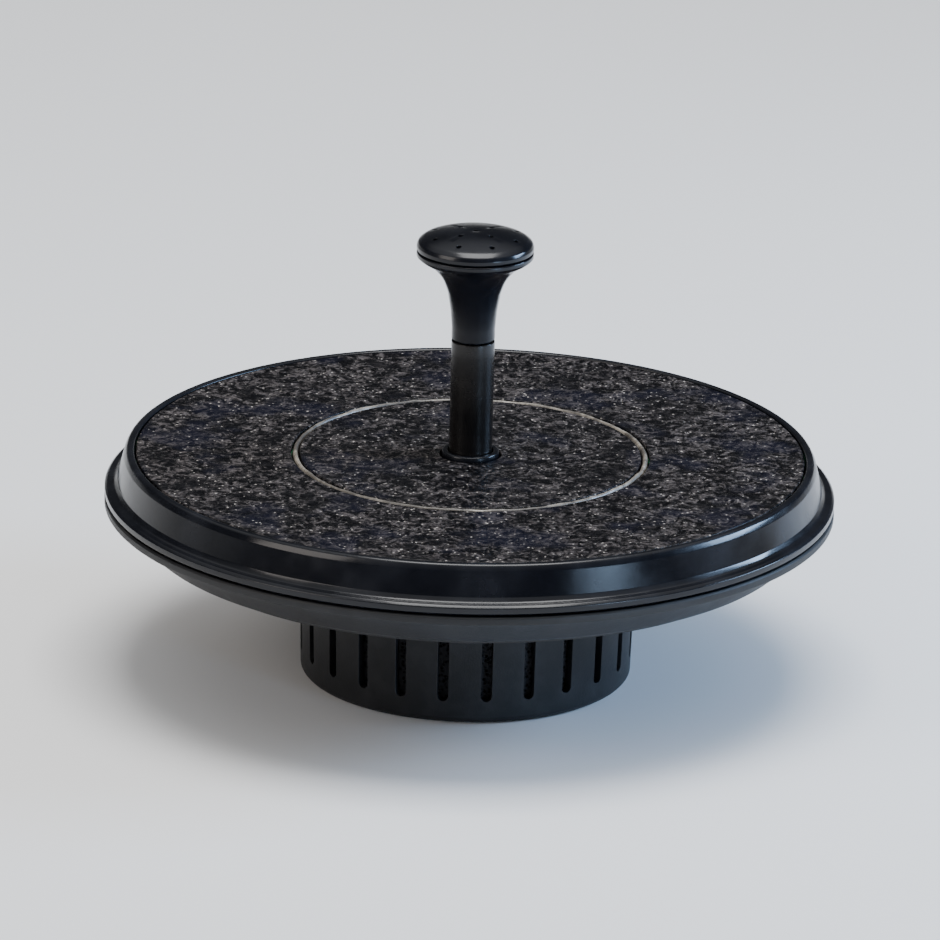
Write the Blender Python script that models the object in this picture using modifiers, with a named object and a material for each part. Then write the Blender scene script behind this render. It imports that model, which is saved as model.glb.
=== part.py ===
# Floating solar fountain pump.
#
# A round float carries an annular solar panel on its deck. A small brushless
# centrifugal pump hangs under its centre inside a slotted strainer basket, and
# a push-fit riser tube with a spray head stands on the axis above the deck.
#
# +Z is up. The origin is the centre of the strainer basket's flat underside.
# The pump's rotor axis is horizontal, along X, so that the tangential outlet
# rises on the float's own axis.

import math

import bmesh
import bpy
from mathutils import Vector

MM = 0.001

# ---------------------------------------------------------------- dimensions
# All in millimetres.
FLOAT_R = 80.0            # outer radius of the seam flange
DECK_R = 75.4             # radius of the deck's top edge
FLOAT_BOTTOM_Z = 30.0     # flat underside of the float
SEAM_Z = 39.85            # plane between the two shells
FLANGE_TOP_Z = 42.2       # top of the upper shell's flange bead
DECK_Z = 44.2             # underside of the deck plate
RECESS_Z = 46.2           # top of the deck plate, where the panel sits
TOP_Z = 50.0              # top of the deck's rim
WALL = 2.0

PANEL_R = 73.2            # outer radius of the solar panel
PANEL_IN_R = 39.3         # inner radius of the solar panel
RING_R = 38.35            # mean radius of the pale ring between panel and hub
HUB_R = 37.4              # radius of the central hub plate
CELLS = 8                 # solar cells round the panel

PIPE_TOP_Z = 50.9         # lip of the discharge pipe, just proud of the deck
RISER_BOTTOM_Z = 38.4
RISER_TOP_Z = 76.0
RISER_R = 4.75
RISER_BORE = 3.25
NOZZLE_TOP_Z = 101.0
HEAD_R = 12.8

BASKET_R = 37.6           # strainer basket, outer radius at its rim
BASKET_RIM_Z = 29.6
BASKET_FLOOR = 2.0
SLOTS = 24
FLOOR_SLOTS = 8

PUMP_Y = -6.0             # rotor axis, offset so the tangential outlet is on Z
PUMP_Z = 16.0
BODY_R = 12.6             # motor and volute casing
BACK_X = -22.2            # back of the motor casing
MOUTH_X = 7.0             # front of the volute casing
CHAMBER_R = 9.5
CHAMBER_BACK_X = -4.0
OUTLET_R = 3.5
WELL_R = 5.5              # rotor well, inside
WELL_END_X = -18.2
SHAFT_R = 1.0
BORE_R = 1.08             # running bore of the rotor on its fixed shaft
MAGNET_R = 5.0
IMPELLER_R = 7.9
BLADES = 5

SHELL_SCREW_CIRCLE = 62.0
SHELL_SCREWS = 6
PUMP_SCREWS = ((-15.0, 10.5), (-15.0, -21.5), (4.0, -21.5))
HOOKS = (90.0, 270.0)     # bayonet hooks round the casing's mouth, in degrees
COVER_TURN = 30.0         # how far the cover turns to come free of them

BIG, MID, SMALL = 48, 28, 20   # segments round a turned shape

# ------------------------------------------------------------------ clearing
for old in list(bpy.data.objects):
    bpy.data.objects.remove(old, do_unlink=True)

scene = bpy.context.scene
scene.unit_settings.system = "METRIC"
scene.unit_settings.scale_length = 1.0

model = bpy.data.collections.new("fountain_pump")
cutters = bpy.data.collections.new("cutters")
scene.collection.children.link(model)
scene.collection.children.link(cutters)


# ----------------------------------------------------------------- materials
def material(name, colour, roughness, metallic=0.0):
    made = bpy.data.materials.new(name)
    made.use_nodes = True
    shader = made.node_tree.nodes["Principled BSDF"]
    shader.inputs["Base Color"].default_value = (*colour, 1.0)
    shader.inputs["Roughness"].default_value = roughness
    shader.inputs["Metallic"].default_value = metallic
    made.diffuse_color = (*colour, 1.0)
    return made


BLACK = material("black_plastic", (0.018, 0.019, 0.022), 0.32)
BLACK_MATT = material("black_matt_plastic", (0.03, 0.03, 0.032), 0.55)
PANEL_CLEAR = material("panel_cover", (0.03, 0.032, 0.042), 0.35)
CELL = material("solar_cell", (0.012, 0.016, 0.04), 0.25)
BOARD = material("circuit_board", (0.02, 0.16, 0.07), 0.5)
PALE = material("pale_silicone", (0.62, 0.6, 0.54), 0.4)
RUBBER = material("black_rubber", (0.02, 0.02, 0.02), 0.8)
FOAM = material("white_foam", (0.85, 0.85, 0.82), 0.9)
SPONGE = material("filter_sponge", (0.05, 0.05, 0.055), 0.95)
STEEL = material("stainless_steel", (0.62, 0.62, 0.6), 0.3, 1.0)
LAMINATION = material("core_steel", (0.35, 0.35, 0.36), 0.45, 1.0)
COPPER = material("copper_wire", (0.72, 0.33, 0.16), 0.35, 1.0)
RESIN = material("potting_resin", (0.04, 0.04, 0.045), 0.3)
FERRITE = material("ferrite_magnet", (0.07, 0.065, 0.065), 0.5)
CERAMIC = material("ceramic", (0.86, 0.84, 0.78), 0.25)
WHITE = material("white_plastic", (0.78, 0.78, 0.76), 0.4)
ALUMINIUM = material("capacitor_can", (0.6, 0.61, 0.63), 0.35, 1.0)
RED = material("red_insulation", (0.55, 0.03, 0.02), 0.45)


# -------------------------------------------------------------------- frames
def empty(name, at=(0, 0, 0), turn=(0, 0, 0), parent=None):
    made = bpy.data.objects.new(name, None)
    made.empty_display_size = 0.01
    made.location = Vector(at) * MM
    made.rotation_euler = turn
    made.parent = parent
    model.objects.link(made)
    return made


ALONG_X = (0.0, math.pi / 2, 0.0)   # a local Z that points along the world's X

root = empty("float_frame")
pump_frame = empty("pump_frame", (0, PUMP_Y, PUMP_Z), ALONG_X, root)
rotor_frame = empty("rotor_axis", (0, PUMP_Y, PUMP_Z), ALONG_X, root)
cover_frame = empty("pump_cover_axis", (0, PUMP_Y, PUMP_Z), ALONG_X, root)
strainer_frame = empty("strainer_slide", (0, 0, 0), (0, 0, 0), root)
riser_frame = empty("riser_slide", (0, 0, RISER_BOTTOM_Z), (0, 0, 0), root)
nozzle_frame = empty(
    "nozzle_slide", (0, 0, RISER_TOP_Z - RISER_BOTTOM_Z), (0, 0, 0), riser_frame
)


def place(obj, parent, at=(0, 0, 0), turn=(0, 0, 0), mat=None, helper=False):
    """Links the object, parents it, and marks a helper so that it isn't a part."""
    (cutters if helper else model).objects.link(obj)
    obj.parent = parent
    obj.location = Vector(at) * MM
    obj.rotation_euler = turn
    if helper:
        obj.hide_render = True
        obj.display_type = "WIRE"
    if mat is not None:
        obj.data.materials.append(mat)
    return obj


def from_bmesh(name, bm):
    mesh = bpy.data.meshes.new(name)
    bm.to_mesh(mesh)
    bm.free()
    return bpy.data.objects.new(name, mesh)


def smooth(mesh, degrees=35):
    mesh.shade_smooth()
    mesh.set_sharp_from_angle(angle=math.radians(degrees))


# -------------------------------------------------------------------- shapes
def turned(name, profile, parent, mat=None, steps=MID, at=(0, 0, 0), helper=False,
           turn=(0, 0, 0)):
    """A closed loop of (radius, height) turned about local Z with a Screw."""
    area = sum(
        a[0] * b[1] - b[0] * a[1] for a, b in zip(profile, profile[1:] + profile[:1])
    )
    loop = profile[::-1] if area > 0 else profile   # down the outer side
    mesh = bpy.data.meshes.new(name)
    points = [(r * MM, 0, z * MM) for r, z in loop]
    edges = [(i, (i + 1) % len(loop)) for i in range(len(loop))]
    mesh.from_pydata(points, edges, [])
    obj = bpy.data.objects.new(name, mesh)
    place(obj, parent, at, turn, mat, helper)
    screw = obj.modifiers.new("turn", "SCREW")
    screw.axis = "Z"
    screw.angle = math.tau
    screw.steps = screw.render_steps = steps
    screw.use_merge_vertices = True
    screw.merge_threshold = 1e-5
    screw.use_smooth_shade = True
    return obj


def ring_section(major, minor, height, points=6):
    """The round section of an O-ring."""
    return [
        (
            major + minor * math.cos(math.tau * k / points),
            height + minor * math.sin(math.tau * k / points),
        )
        for k in range(points)
    ]


def cylinder(name, radius, low, high, parent, mat=None, at=(0, 0, 0), steps=SMALL,
             top=None, helper=False, turn=(0, 0, 0), phase=0.0):
    """A cylinder, or a cone frustum when top differs, from low to high on local Z."""
    bm = bmesh.new()
    bmesh.ops.create_cone(
        bm, cap_ends=True, segments=steps, radius1=radius * MM,
        radius2=(radius if top is None else top) * MM, depth=(high - low) * MM,
    )
    if phase:
        turn_by = math.radians(phase)
        for v in bm.verts:
            x, y = v.co.x, v.co.y
            v.co.x = x * math.cos(turn_by) - y * math.sin(turn_by)
            v.co.y = x * math.sin(turn_by) + y * math.cos(turn_by)
    bmesh.ops.translate(bm, verts=bm.verts, vec=(0, 0, (low + high) / 2 * MM))
    obj = from_bmesh(name, bm)
    place(obj, parent, at, turn, mat, helper)
    smooth(obj.data)
    return obj


def box(name, low, high, parent, mat=None, at=(0, 0, 0), turn=(0, 0, 0), helper=False,
        bevel=0.0):
    """A box between two corners, with its scale already in the mesh."""
    bm = bmesh.new()
    bmesh.ops.create_cube(bm, size=1.0)
    for v in bm.verts:
        v.co = Vector(
            (low[k] + (v.co[k] + 0.5) * (high[k] - low[k])) * MM for k in range(3)
        )
    obj = from_bmesh(name, bm)
    place(obj, parent, at, turn, mat, helper)
    if bevel:
        rounding = obj.modifiers.new("edges", "BEVEL")
        rounding.width = bevel * MM
        rounding.segments = 1
    return obj


def boxes(name, corners, parent, turns, helper=True):
    """Several equal boxes round local Z in one cutter: one for each angle."""
    bm = bmesh.new()
    low, high = corners
    for angle in turns:
        made = bmesh.ops.create_cube(bm, size=1.0)["verts"]
        for v in made:
            p = Vector(
                (low[k] + (v.co[k] + 0.5) * (high[k] - low[k])) * MM for k in range(3)
            )
            c, s = math.cos(angle), math.sin(angle)
            v.co = Vector((p.x * c - p.y * s, p.x * s + p.y * c, p.z))
    obj = from_bmesh(name, bm)
    return place(obj, parent, helper=helper)


def join(target, other, operation="UNION"):
    """Joins or cuts target with the other mesh by an exact Boolean."""
    step = target.modifiers.new(other.name, "BOOLEAN")
    step.operation = operation
    step.solver = "EXACT"
    step.object = other
    return target


def cut(target, other):
    return join(target, other, "DIFFERENCE")


def tube(name, points, radius, parent, mat, resolution=2):
    """A round wire along a smooth curve through the given points."""
    knots = [Vector(p) for p in points]
    ext = [2 * knots[0] - knots[1], *knots, 2 * knots[-1] - knots[-2]]
    smooth_points = []
    for i in range(1, len(ext) - 2):
        a, b, c, d = ext[i - 1:i + 3]
        count = 3
        for k in range(count):
            t = k / count
            smooth_points.append(
                0.5 * (2 * b + (c - a) * t + (2 * a - 5 * b + 4 * c - d) * t * t
                       + (3 * b - a - 3 * c + d) * t ** 3)
            )
    smooth_points.append(knots[-1])
    curve = bpy.data.curves.new(name, "CURVE")
    curve.dimensions = "3D"
    curve.bevel_depth = radius * MM
    curve.bevel_resolution = resolution
    curve.use_fill_caps = True
    spline = curve.splines.new("POLY")
    spline.points.add(len(smooth_points) - 1)
    for target, p in zip(spline.points, smooth_points):
        target.co = (*(p * MM), 1.0)
    obj = bpy.data.objects.new(name, curve)
    return place(obj, parent, mat=mat)


# --------------------------------------------------------------- float shells
upper_shell = turned(
    "upper_shell",
    [
        (9.2, DECK_Z), (72.4, DECK_Z), (73.8, 42.8), (73.8, 40.0),
        (79.6, 40.0), (FLOAT_R, 40.4), (FLOAT_R, 41.7), (79.5, FLANGE_TOP_Z),
        (77.9, 42.3), (77.3, 42.9), (75.9, 48.6), (DECK_R, 49.5),
        (74.7, TOP_Z), (73.9, TOP_Z), (73.6, 49.7), (73.6, RECESS_Z),
        (9.2, RECESS_Z),
    ],
    root, BLACK, BIG,
)
for k in range(SHELL_SCREWS):
    angle = math.tau * (k + 0.5) / SHELL_SCREWS
    spot = (
        SHELL_SCREW_CIRCLE * math.cos(angle), SHELL_SCREW_CIRCLE * math.sin(angle), 0
    )
    join(upper_shell, cylinder(
        f"upper_boss_{k}", 3.1, 34.6, 45.0, root, at=spot, steps=10, helper=True
    ))
for k in range(SHELL_SCREWS):
    angle = math.tau * (k + 0.5) / SHELL_SCREWS
    spot = (
        SHELL_SCREW_CIRCLE * math.cos(angle), SHELL_SCREW_CIRCLE * math.sin(angle), 0
    )
    cut(upper_shell, cylinder(
        f"upper_pilot_{k}", 1.75, 33.0, 43.4, root, at=spot, steps=10, helper=True
    ))
for side in (-1, 1):
    cut(upper_shell, cylinder(
        f"lead_hole_{side}", 1.1, 43.0, 47.5, root, at=(side * 3.0, 44.0, 0), steps=10,
        helper=True,
    ))

lower_shell = turned(
    "lower_shell",
    [
        (73.0, 39.7), (74.2, 39.7), (74.2, 38.2), (76.6, 38.2), (76.6, 39.7),
        (79.6, 39.7), (FLOAT_R, 39.3), (FLOAT_R, 38.0), (79.6, 37.6),
        (77.9, 37.3), (74.9, 34.6), (71.2, 31.4), (67.2, FLOAT_BOTTOM_Z),
        (34.8, FLOAT_BOTTOM_Z), (34.8, 24.9), (34.4, 24.5), (33.2, 24.5),
        (32.8, 24.9), (32.8, FLOAT_BOTTOM_Z), (7.9, FLOAT_BOTTOM_Z),
        (7.9, FLOAT_BOTTOM_Z + WALL), (66.6, FLOAT_BOTTOM_Z + WALL),
        (70.4, 34.0), (73.0, 36.6),
    ],
    root, BLACK_MATT, BIG,
)
for k in range(SHELL_SCREWS):
    angle = math.tau * (k + 0.5) / SHELL_SCREWS
    spot = (
        SHELL_SCREW_CIRCLE * math.cos(angle), SHELL_SCREW_CIRCLE * math.sin(angle), 0
    )
    join(lower_shell, cylinder(
        f"lower_pad_{k}", 4.4, 31.0, 34.2, root, at=spot, steps=12, helper=True
    ))
for k, (x, y) in enumerate(PUMP_SCREWS):
    join(lower_shell, cylinder(
        f"pump_boss_{k}", 3.2, 31.0, 39.0, root, at=(x, y, 0), steps=12, helper=True
    ))
for k, x in enumerate((-10.0, 6.0)):
    join(lower_shell, cylinder(
        f"board_post_{k}", 1.6, 31.0, 32.8, root, at=(x, 20.5, 0), steps=8, helper=True
    ))
for k in range(SHELL_SCREWS):
    angle = math.tau * (k + 0.5) / SHELL_SCREWS
    spot = (
        SHELL_SCREW_CIRCLE * math.cos(angle), SHELL_SCREW_CIRCLE * math.sin(angle), 0
    )
    cut(lower_shell, cylinder(
        f"head_recess_{k}", 3.2, 28.0, 32.3, root, at=spot, steps=12, helper=True
    ))
    cut(lower_shell, cylinder(
        f"screw_hole_{k}", 1.8, 31.0, 36.0, root, at=spot, steps=10, helper=True
    ))
for k, (x, y) in enumerate(PUMP_SCREWS):
    cut(lower_shell, cylinder(
        f"pump_pilot_{k}", 1.6, 28.0, 37.4, root, at=(x, y, 0), steps=10, helper=True
    ))
cut(lower_shell, cylinder(
    "grommet_hole", 2.6, 28.0, 34.0, root, at=(-27.5, PUMP_Y, 0), steps=14, helper=True
))

shell_gasket = turned(
    "shell_gasket", ring_section(75.4, 0.7, 39.15), root, RUBBER, BIG
)
float_foam = turned(
    "float_foam",
    [(33.0, 32.5), (56.8, 32.5), (56.8, 41.3), (33.0, 41.3)],
    root, FOAM, 36,
)
for k in range(SHELL_SCREWS):
    angle = math.tau * (k + 0.5) / SHELL_SCREWS
    spot = (
        SHELL_SCREW_CIRCLE * math.cos(angle), SHELL_SCREW_CIRCLE * math.sin(angle)
    )
    turned(
        f"shell_screw_{k + 1}",
        [(0.0, 42.6), (1.3, 42.0), (1.3, 32.0), (2.8, 31.4), (2.8, 30.5), (0.0, 30.5)],
        root, STEEL, 10, at=(*spot, 0),
    )

# ------------------------------------------------------- deck: panel and hub
panel_board = turned(
    "panel_board",
    [(PANEL_IN_R, 46.5), (PANEL_R, 46.5), (PANEL_R, 47.6), (PANEL_IN_R, 47.6)],
    root, BOARD, BIG,
)
panel_cover = turned(
    "panel_cover",
    [
        (PANEL_IN_R, 48.5), (PANEL_R, 48.5), (PANEL_R, 49.5), (PANEL_R - 0.3, 49.75),
        (PANEL_IN_R + 0.3, 49.75), (PANEL_IN_R, 49.5),
    ],
    root, PANEL_CLEAR, BIG,
)


def sector(inner, outer, start, end, steps):
    """The outline of a ring sector, in the plane, anticlockwise."""
    turns = [start + (end - start) * k / steps for k in range(steps + 1)]
    return [(outer * math.cos(a), outer * math.sin(a)) for a in turns] + [
        (inner * math.cos(a), inner * math.sin(a)) for a in reversed(turns)
    ]


def plate(name, outlines, low, high, parent, mat, at=(0, 0, 0), turn=(0, 0, 0),
          helper=False):
    """Flat outlines, filled and extruded between two heights, as a mesh."""
    curve = bpy.data.curves.new(name, "CURVE")
    curve.dimensions = "2D"
    curve.fill_mode = "BOTH"
    curve.extrude = (high - low) / 2 * MM
    for outline in outlines:
        spline = curve.splines.new("POLY")
        spline.points.add(len(outline) - 1)
        for target, (x, y) in zip(spline.points, outline):
            target.co = (x * MM, y * MM, 0, 1)
        spline.use_cyclic_u = True
    shape = bpy.data.objects.new(name + "_outline", curve)
    scene.collection.objects.link(shape)
    bpy.context.view_layer.update()
    graph = bpy.context.evaluated_depsgraph_get()
    mesh = bpy.data.meshes.new_from_object(shape.evaluated_get(graph))
    bpy.data.objects.remove(shape, do_unlink=True)
    bm = bmesh.new()
    bm.from_mesh(mesh)
    bmesh.ops.remove_doubles(bm, verts=bm.verts, dist=1e-6)
    bmesh.ops.translate(bm, verts=bm.verts, vec=(0, 0, (low + high) / 2 * MM))
    bm.to_mesh(mesh)
    bm.free()
    mesh.materials.clear()
    obj = bpy.data.objects.new(name, mesh)
    return place(obj, parent, at, turn, mat, helper)


for k in range(CELLS):
    middle = math.tau * (k + 0.5) / CELLS
    half = math.tau / CELLS / 2 - 0.018
    plate(
        f"panel_cell_{k + 1}",
        [sector(41.5, 71.6, middle - half, middle + half, 6)],
        47.85, 48.25, root, CELL,
    )

hub_plate = turned(
    "hub_plate",
    [
        (6.7, 46.5), (HUB_R, 46.5), (HUB_R, 49.55), (HUB_R - 0.3, 49.8),
        (7.0, 49.8), (6.7, 49.5),
    ],
    root, BLACK, BIG,
)
hub_ring = turned(
    "hub_ring",
    [
        (RING_R - 0.6, 46.5), (RING_R + 0.6, 46.5), (RING_R + 0.6, 49.75),
        (RING_R + 0.3, 50.1), (RING_R - 0.3, 50.1), (RING_R - 0.6, 49.75),
    ],
    root, PALE, BIG,
)

# ------------------------------------------------------------ discharge pipe
discharge_pipe = turned(
    "discharge_pipe",
    [
        (5.05, PIPE_TOP_Z), (6.0, PIPE_TOP_Z), (6.3, PIPE_TOP_Z - 0.3), (6.3, 46.1),
        (7.2, 46.1), (7.2, 34.4),
        (11.0, 34.4), (11.0, 32.4), (7.4, 32.4), (7.4, 31.7), (5.4, 31.7),
        (5.4, 35.2), (3.6, 35.2), (3.6, 38.0), (5.05, 38.0),
    ],
    root, BLACK, MID,
)
hub_seal = turned("hub_seal", ring_section(8.2, 0.8, 45.2), root, RUBBER, MID)
outlet_seal = turned("outlet_seal", ring_section(6.3, 0.75, 30.6), root, RUBBER, MID)

# ------------------------------------------------------ control board, leads
control_board = box(
    "control_board", (-13.0, 15.8, 33.1), (9.0, 25.2, 34.3), root, BOARD, bevel=0.3
)
capacitor = turned(
    "capacitor",
    [(0.0, 41.6), (2.7, 41.6), (3.0, 41.3), (3.0, 34.6), (0.0, 34.6)],
    root, ALUMINIUM, 16, at=(5.4, 20.5, 0),
)
inductor = turned(
    "inductor",
    [
        (0.0, 38.2), (2.6, 38.2), (2.6, 37.4), (2.1, 37.2), (2.1, 35.6),
        (2.6, 35.4), (2.6, 34.6), (0.0, 34.6),
    ],
    root, COPPER, 14, at=(-6.0, 22.0, 0),
)
controller_chip = box(
    "controller_chip", (-2.6, 18.2, 34.6), (1.4, 22.8, 35.8), root, RESIN, bevel=0.25
)
panel_lead_positive = tube(
    "panel_lead_positive",
    [(3, 44, 46.2), (3, 44, 44.6), (3, 42.6, 43.1), (3.0, 38, 42.8), (2.6, 31.5, 42.6),
     (1.6, 27.0, 40.0), (0.2, 24.8, 37.0), (0.0, 24.2, 35.3)],
    0.55, root, RED, 1,
)
panel_lead_negative = tube(
    "panel_lead_negative",
    [(-3, 44, 46.2), (-3, 44, 44.6), (-3, 42.6, 43.1), (-3.0, 38, 42.8),
     (-2.8, 31.5, 42.6), (-2.4, 27.2, 40.0), (-2.0, 25.0, 37.0), (-1.8, 24.2, 35.3)],
    0.55, root, RUBBER, 1,
)
motor_lead = tube(
    "motor_lead",
    [(-19.3, PUMP_Y, 23.6), (-21.5, PUMP_Y, 23.6), (-24.6, PUMP_Y, 24.0),
     (-26.9, PUMP_Y, 26.0), (-27.5, PUMP_Y, 29.0), (-27.5, PUMP_Y, 32.6),
     (-26.8, -4.0, 35.2), (-24.8, 2.0, 36.4), (-22.6, 8.6, 36.6), (-19.6, 14.8, 36.4),
     (-15.0, 18.8, 36.0), (-11.0, 19.6, 35.9)],
    1.2, root, RUBBER, 2,
)
cable_grommet = turned(
    "cable_grommet",
    [
        (1.6, 29.0), (3.7, 29.0), (3.9, 29.3), (3.9, 29.7), (2.3, 29.7), (2.3, 32.3),
        (3.9, 32.3), (3.9, 32.8), (3.5, 33.1), (1.6, 33.1),
    ],
    root, RUBBER, 14, at=(-27.5, PUMP_Y, 0),
)

# -------------------------------------------------------------- pump casing
# The casing's own frame has its local Z on the rotor axis, so a local height is
# a world X. Seen along that axis, local X is down.
pump_casing = cylinder(
    "pump_casing", BODY_R, BACK_X, MOUTH_X, pump_frame, BLACK_MATT, steps=32,
    phase=360 / 64,
)
join(pump_casing, box(
    "mounting_plate", (-20.0, -23.5, 26.0), (6.8, 12.0, 29.5), root, helper=True
))
for k, (x, y) in enumerate(PUMP_SCREWS):
    join(pump_casing, cylinder(
        f"casing_lug_{k}", 3.7, 26.6, 29.5, root, at=(x, y, 0), steps=12, helper=True,
        phase=15 + 4 * k,
    ))
join(pump_casing, cylinder(
    "outlet_stub", 4.95, 22.0, 34.9, root, steps=MID, helper=True
))
# Material under the plate beyond the round body is cut away, which leaves wings.
cut(pump_casing, cylinder(
    "chamber", CHAMBER_R, CHAMBER_BACK_X, 9.0, pump_frame, steps=MID, helper=True
))
cut(pump_casing, cylinder(
    "mouth", 11.0, 4.4, 9.0, pump_frame, steps=32, helper=True
))
cut(pump_casing, cylinder(
    "rotor_well", WELL_R, WELL_END_X, -3.0, pump_frame, steps=24, helper=True
))
cut(pump_casing, turned(
    "stator_space",
    [(6.5, -5.3), (11.4, -5.3), (11.4, -24.0), (0.6, -24.0), (0.6, -19.2),
     (6.5, -19.2)],
    pump_frame, steps=MID, helper=True,
))
cut(pump_casing, cylinder(
    "behind_well", 0.9, -24.0, -19.2, pump_frame, steps=12, helper=True
))
cut(pump_casing, cylinder(
    "outlet_bore", OUTLET_R, 15.0, 36.0, root, steps=24, helper=True
))
for k, (x, y) in enumerate(PUMP_SCREWS):
    cut(pump_casing, cylinder(
        f"lug_hole_{k}", 1.7, 25.0, 31.0, root, at=(x, y, 0), steps=10, helper=True
    ))
# Two hooks reach over the cover's flange and hold it until it has been turned.
for side, angle in enumerate(HOOKS):
    for part, low, high in (
        ("root", (12.0, -2.0, 3.0), (13.9, 2.0, 6.8)),
        ("arm", (12.95, -2.0, 6.0), (13.9, 2.0, 10.4)),
        ("lip", (11.6, -2.0, 9.4), (13.9, 2.0, 10.4)),
    ):
        join(pump_casing, box(
            f"hook_{part}_{side}", low, high, pump_frame,
            turn=(0, 0, math.radians(angle)), helper=True,
        ))

for k, (x, y) in enumerate(PUMP_SCREWS):
    turned(
        f"pump_screw_{k + 1}",
        [(0.0, 36.8), (1.25, 36.2), (1.25, 25.7), (2.7, 25.7), (2.7, 24.7),
         (2.2, 24.2), (0.0, 24.2)],
        root, STEEL, 10, at=(x, y, 0),
    )
    # Room under each lug for the screw's head and for a driver.
    cut(pump_casing, cylinder(
        f"head_room_{k}", 3.0, 14.0, 26.0, root, at=(x, y, 0), steps=14, helper=True
    ))

# -------------------------------------------------------------------- stator
def stator_outline():
    """The inner edge of the four-pole lamination, anticlockwise."""
    yoke, tip, shoe = 9.95, 6.9, 8.0
    neck, half_shoe = 1.55, math.radians(33)
    outline = []
    for pole in range(4):
        centre = math.tau * pole / 4 + math.tau / 8
        c, s = math.cos(centre), math.sin(centre)

        def along(radial, sideways):
            return (radial * c - sideways * s, radial * s + sideways * c)

        outline.append(along(math.sqrt(yoke ** 2 - neck ** 2), -neck))
        outline.append(along(shoe, -neck))
        outline.append(along(shoe * math.cos(half_shoe), -shoe * math.sin(half_shoe)))
        for k in range(7):
            a = centre - half_shoe + 2 * half_shoe * k / 6
            outline.append((tip * math.cos(a), tip * math.sin(a)))
        outline.append(along(shoe * math.cos(half_shoe), shoe * math.sin(half_shoe)))
        outline.append(along(shoe, neck))
        outline.append(along(math.sqrt(yoke ** 2 - neck ** 2), neck))
        start = centre + math.asin(neck / yoke)
        end = centre + math.tau / 4 - math.asin(neck / yoke)
        for k in range(1, 6):
            a = start + (end - start) * k / 6
            outline.append((yoke * math.cos(a), yoke * math.sin(a)))
    return outline


rim = [
    (11.1 * math.cos(math.tau * k / 28), 11.1 * math.sin(math.tau * k / 28))
    for k in range(28)
]
stator_core = plate(
    "stator_core", [rim, stator_outline()], -14.8, -8.0, pump_frame, LAMINATION
)
for k in range(4):
    # A flat winding round each pole's neck, in the pole's own frame: local X is
    # outwards, local Y across the neck and local Z along the rotor.
    coil = box(
        f"stator_coil_{k + 1}", (8.25, -3.0, -16.6), (9.35, 3.0, -6.2), pump_frame,
        COPPER, turn=(0, 0, math.tau * (k + 0.5) / 4), bevel=0.3,
    )
    cut(coil, box(
        f"coil_window_{k}", (7.5, -1.85, -15.1), (10.5, 1.85, -7.7), pump_frame,
        turn=(0, 0, math.tau * (k + 0.5) / 4), helper=True,
    ))
motor_board = turned(
    "motor_board",
    [(6.85, -18.5), (11.1, -18.5), (11.1, -17.5), (6.85, -17.5)],
    pump_frame, BOARD, MID,
)
cut(motor_board, box(
    "board_notch", (-13.0, -2.2, -19.5), (-6.0, 2.2, -16.5), pump_frame, helper=True
))
potting_plug = cylinder(
    "potting_plug", 11.1, -22.0, -19.5, pump_frame, RESIN, steps=MID
)
cut(potting_plug, cylinder(
    "lead_bore", 1.6, -24.0, -18.0, pump_frame, at=(-7.6, 0, 0), steps=12, helper=True
))

# ------------------------------------------------- shaft, bushes and the rotor
rotor_shaft = cylinder(
    "rotor_shaft", SHAFT_R, -17.0, 9.2, pump_frame, CERAMIC, steps=16
)
shaft_bush_rear = turned(
    "shaft_bush_rear",
    [(0.0, -17.3), (1.1, -17.3), (1.1, -15.6), (4.9, -15.6), (5.1, -15.9),
     (5.1, -17.9), (0.0, -17.9)],
    pump_frame, RUBBER, 20,
)
rotor_magnet = turned(
    "rotor_magnet",
    [(BORE_R, -4.9), (4.7, -4.9), (MAGNET_R, -5.2), (MAGNET_R, -14.7), (4.7, -15.0),
     (BORE_R, -15.0)],
    rotor_frame, FERRITE, 24,
)
impeller = turned(
    "impeller",
    [(BORE_R, 3.0), (2.2, 3.0), (2.5, 2.6), (2.5, -2.0), (IMPELLER_R, -2.0),
     (IMPELLER_R, -3.1), (3.4, -3.1), (3.4, -4.6), (BORE_R, -4.6)],
    rotor_frame, WHITE, 24,
)


def blade_outline():
    """One backward-curved blade between the hub and the impeller's edge."""
    inner, outer, thick, sweep = 2.1, 7.75, 0.5, math.radians(48)
    near, far = [], []
    for k in range(6):
        t = k / 5
        r = inner + (outer - inner) * t
        a = -sweep * t ** 1.4
        half = thick / r
        near.append((r * math.cos(a - half), r * math.sin(a - half)))
        far.append((r * math.cos(a + half), r * math.sin(a + half)))
    return near + far[::-1]


for k in range(BLADES):
    join(impeller, plate(
        f"impeller_blade_{k}", [blade_outline()], -2.4, 3.0, rotor_frame, None,
        turn=(0, 0, math.tau * k / BLADES), helper=True,
    ))

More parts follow.
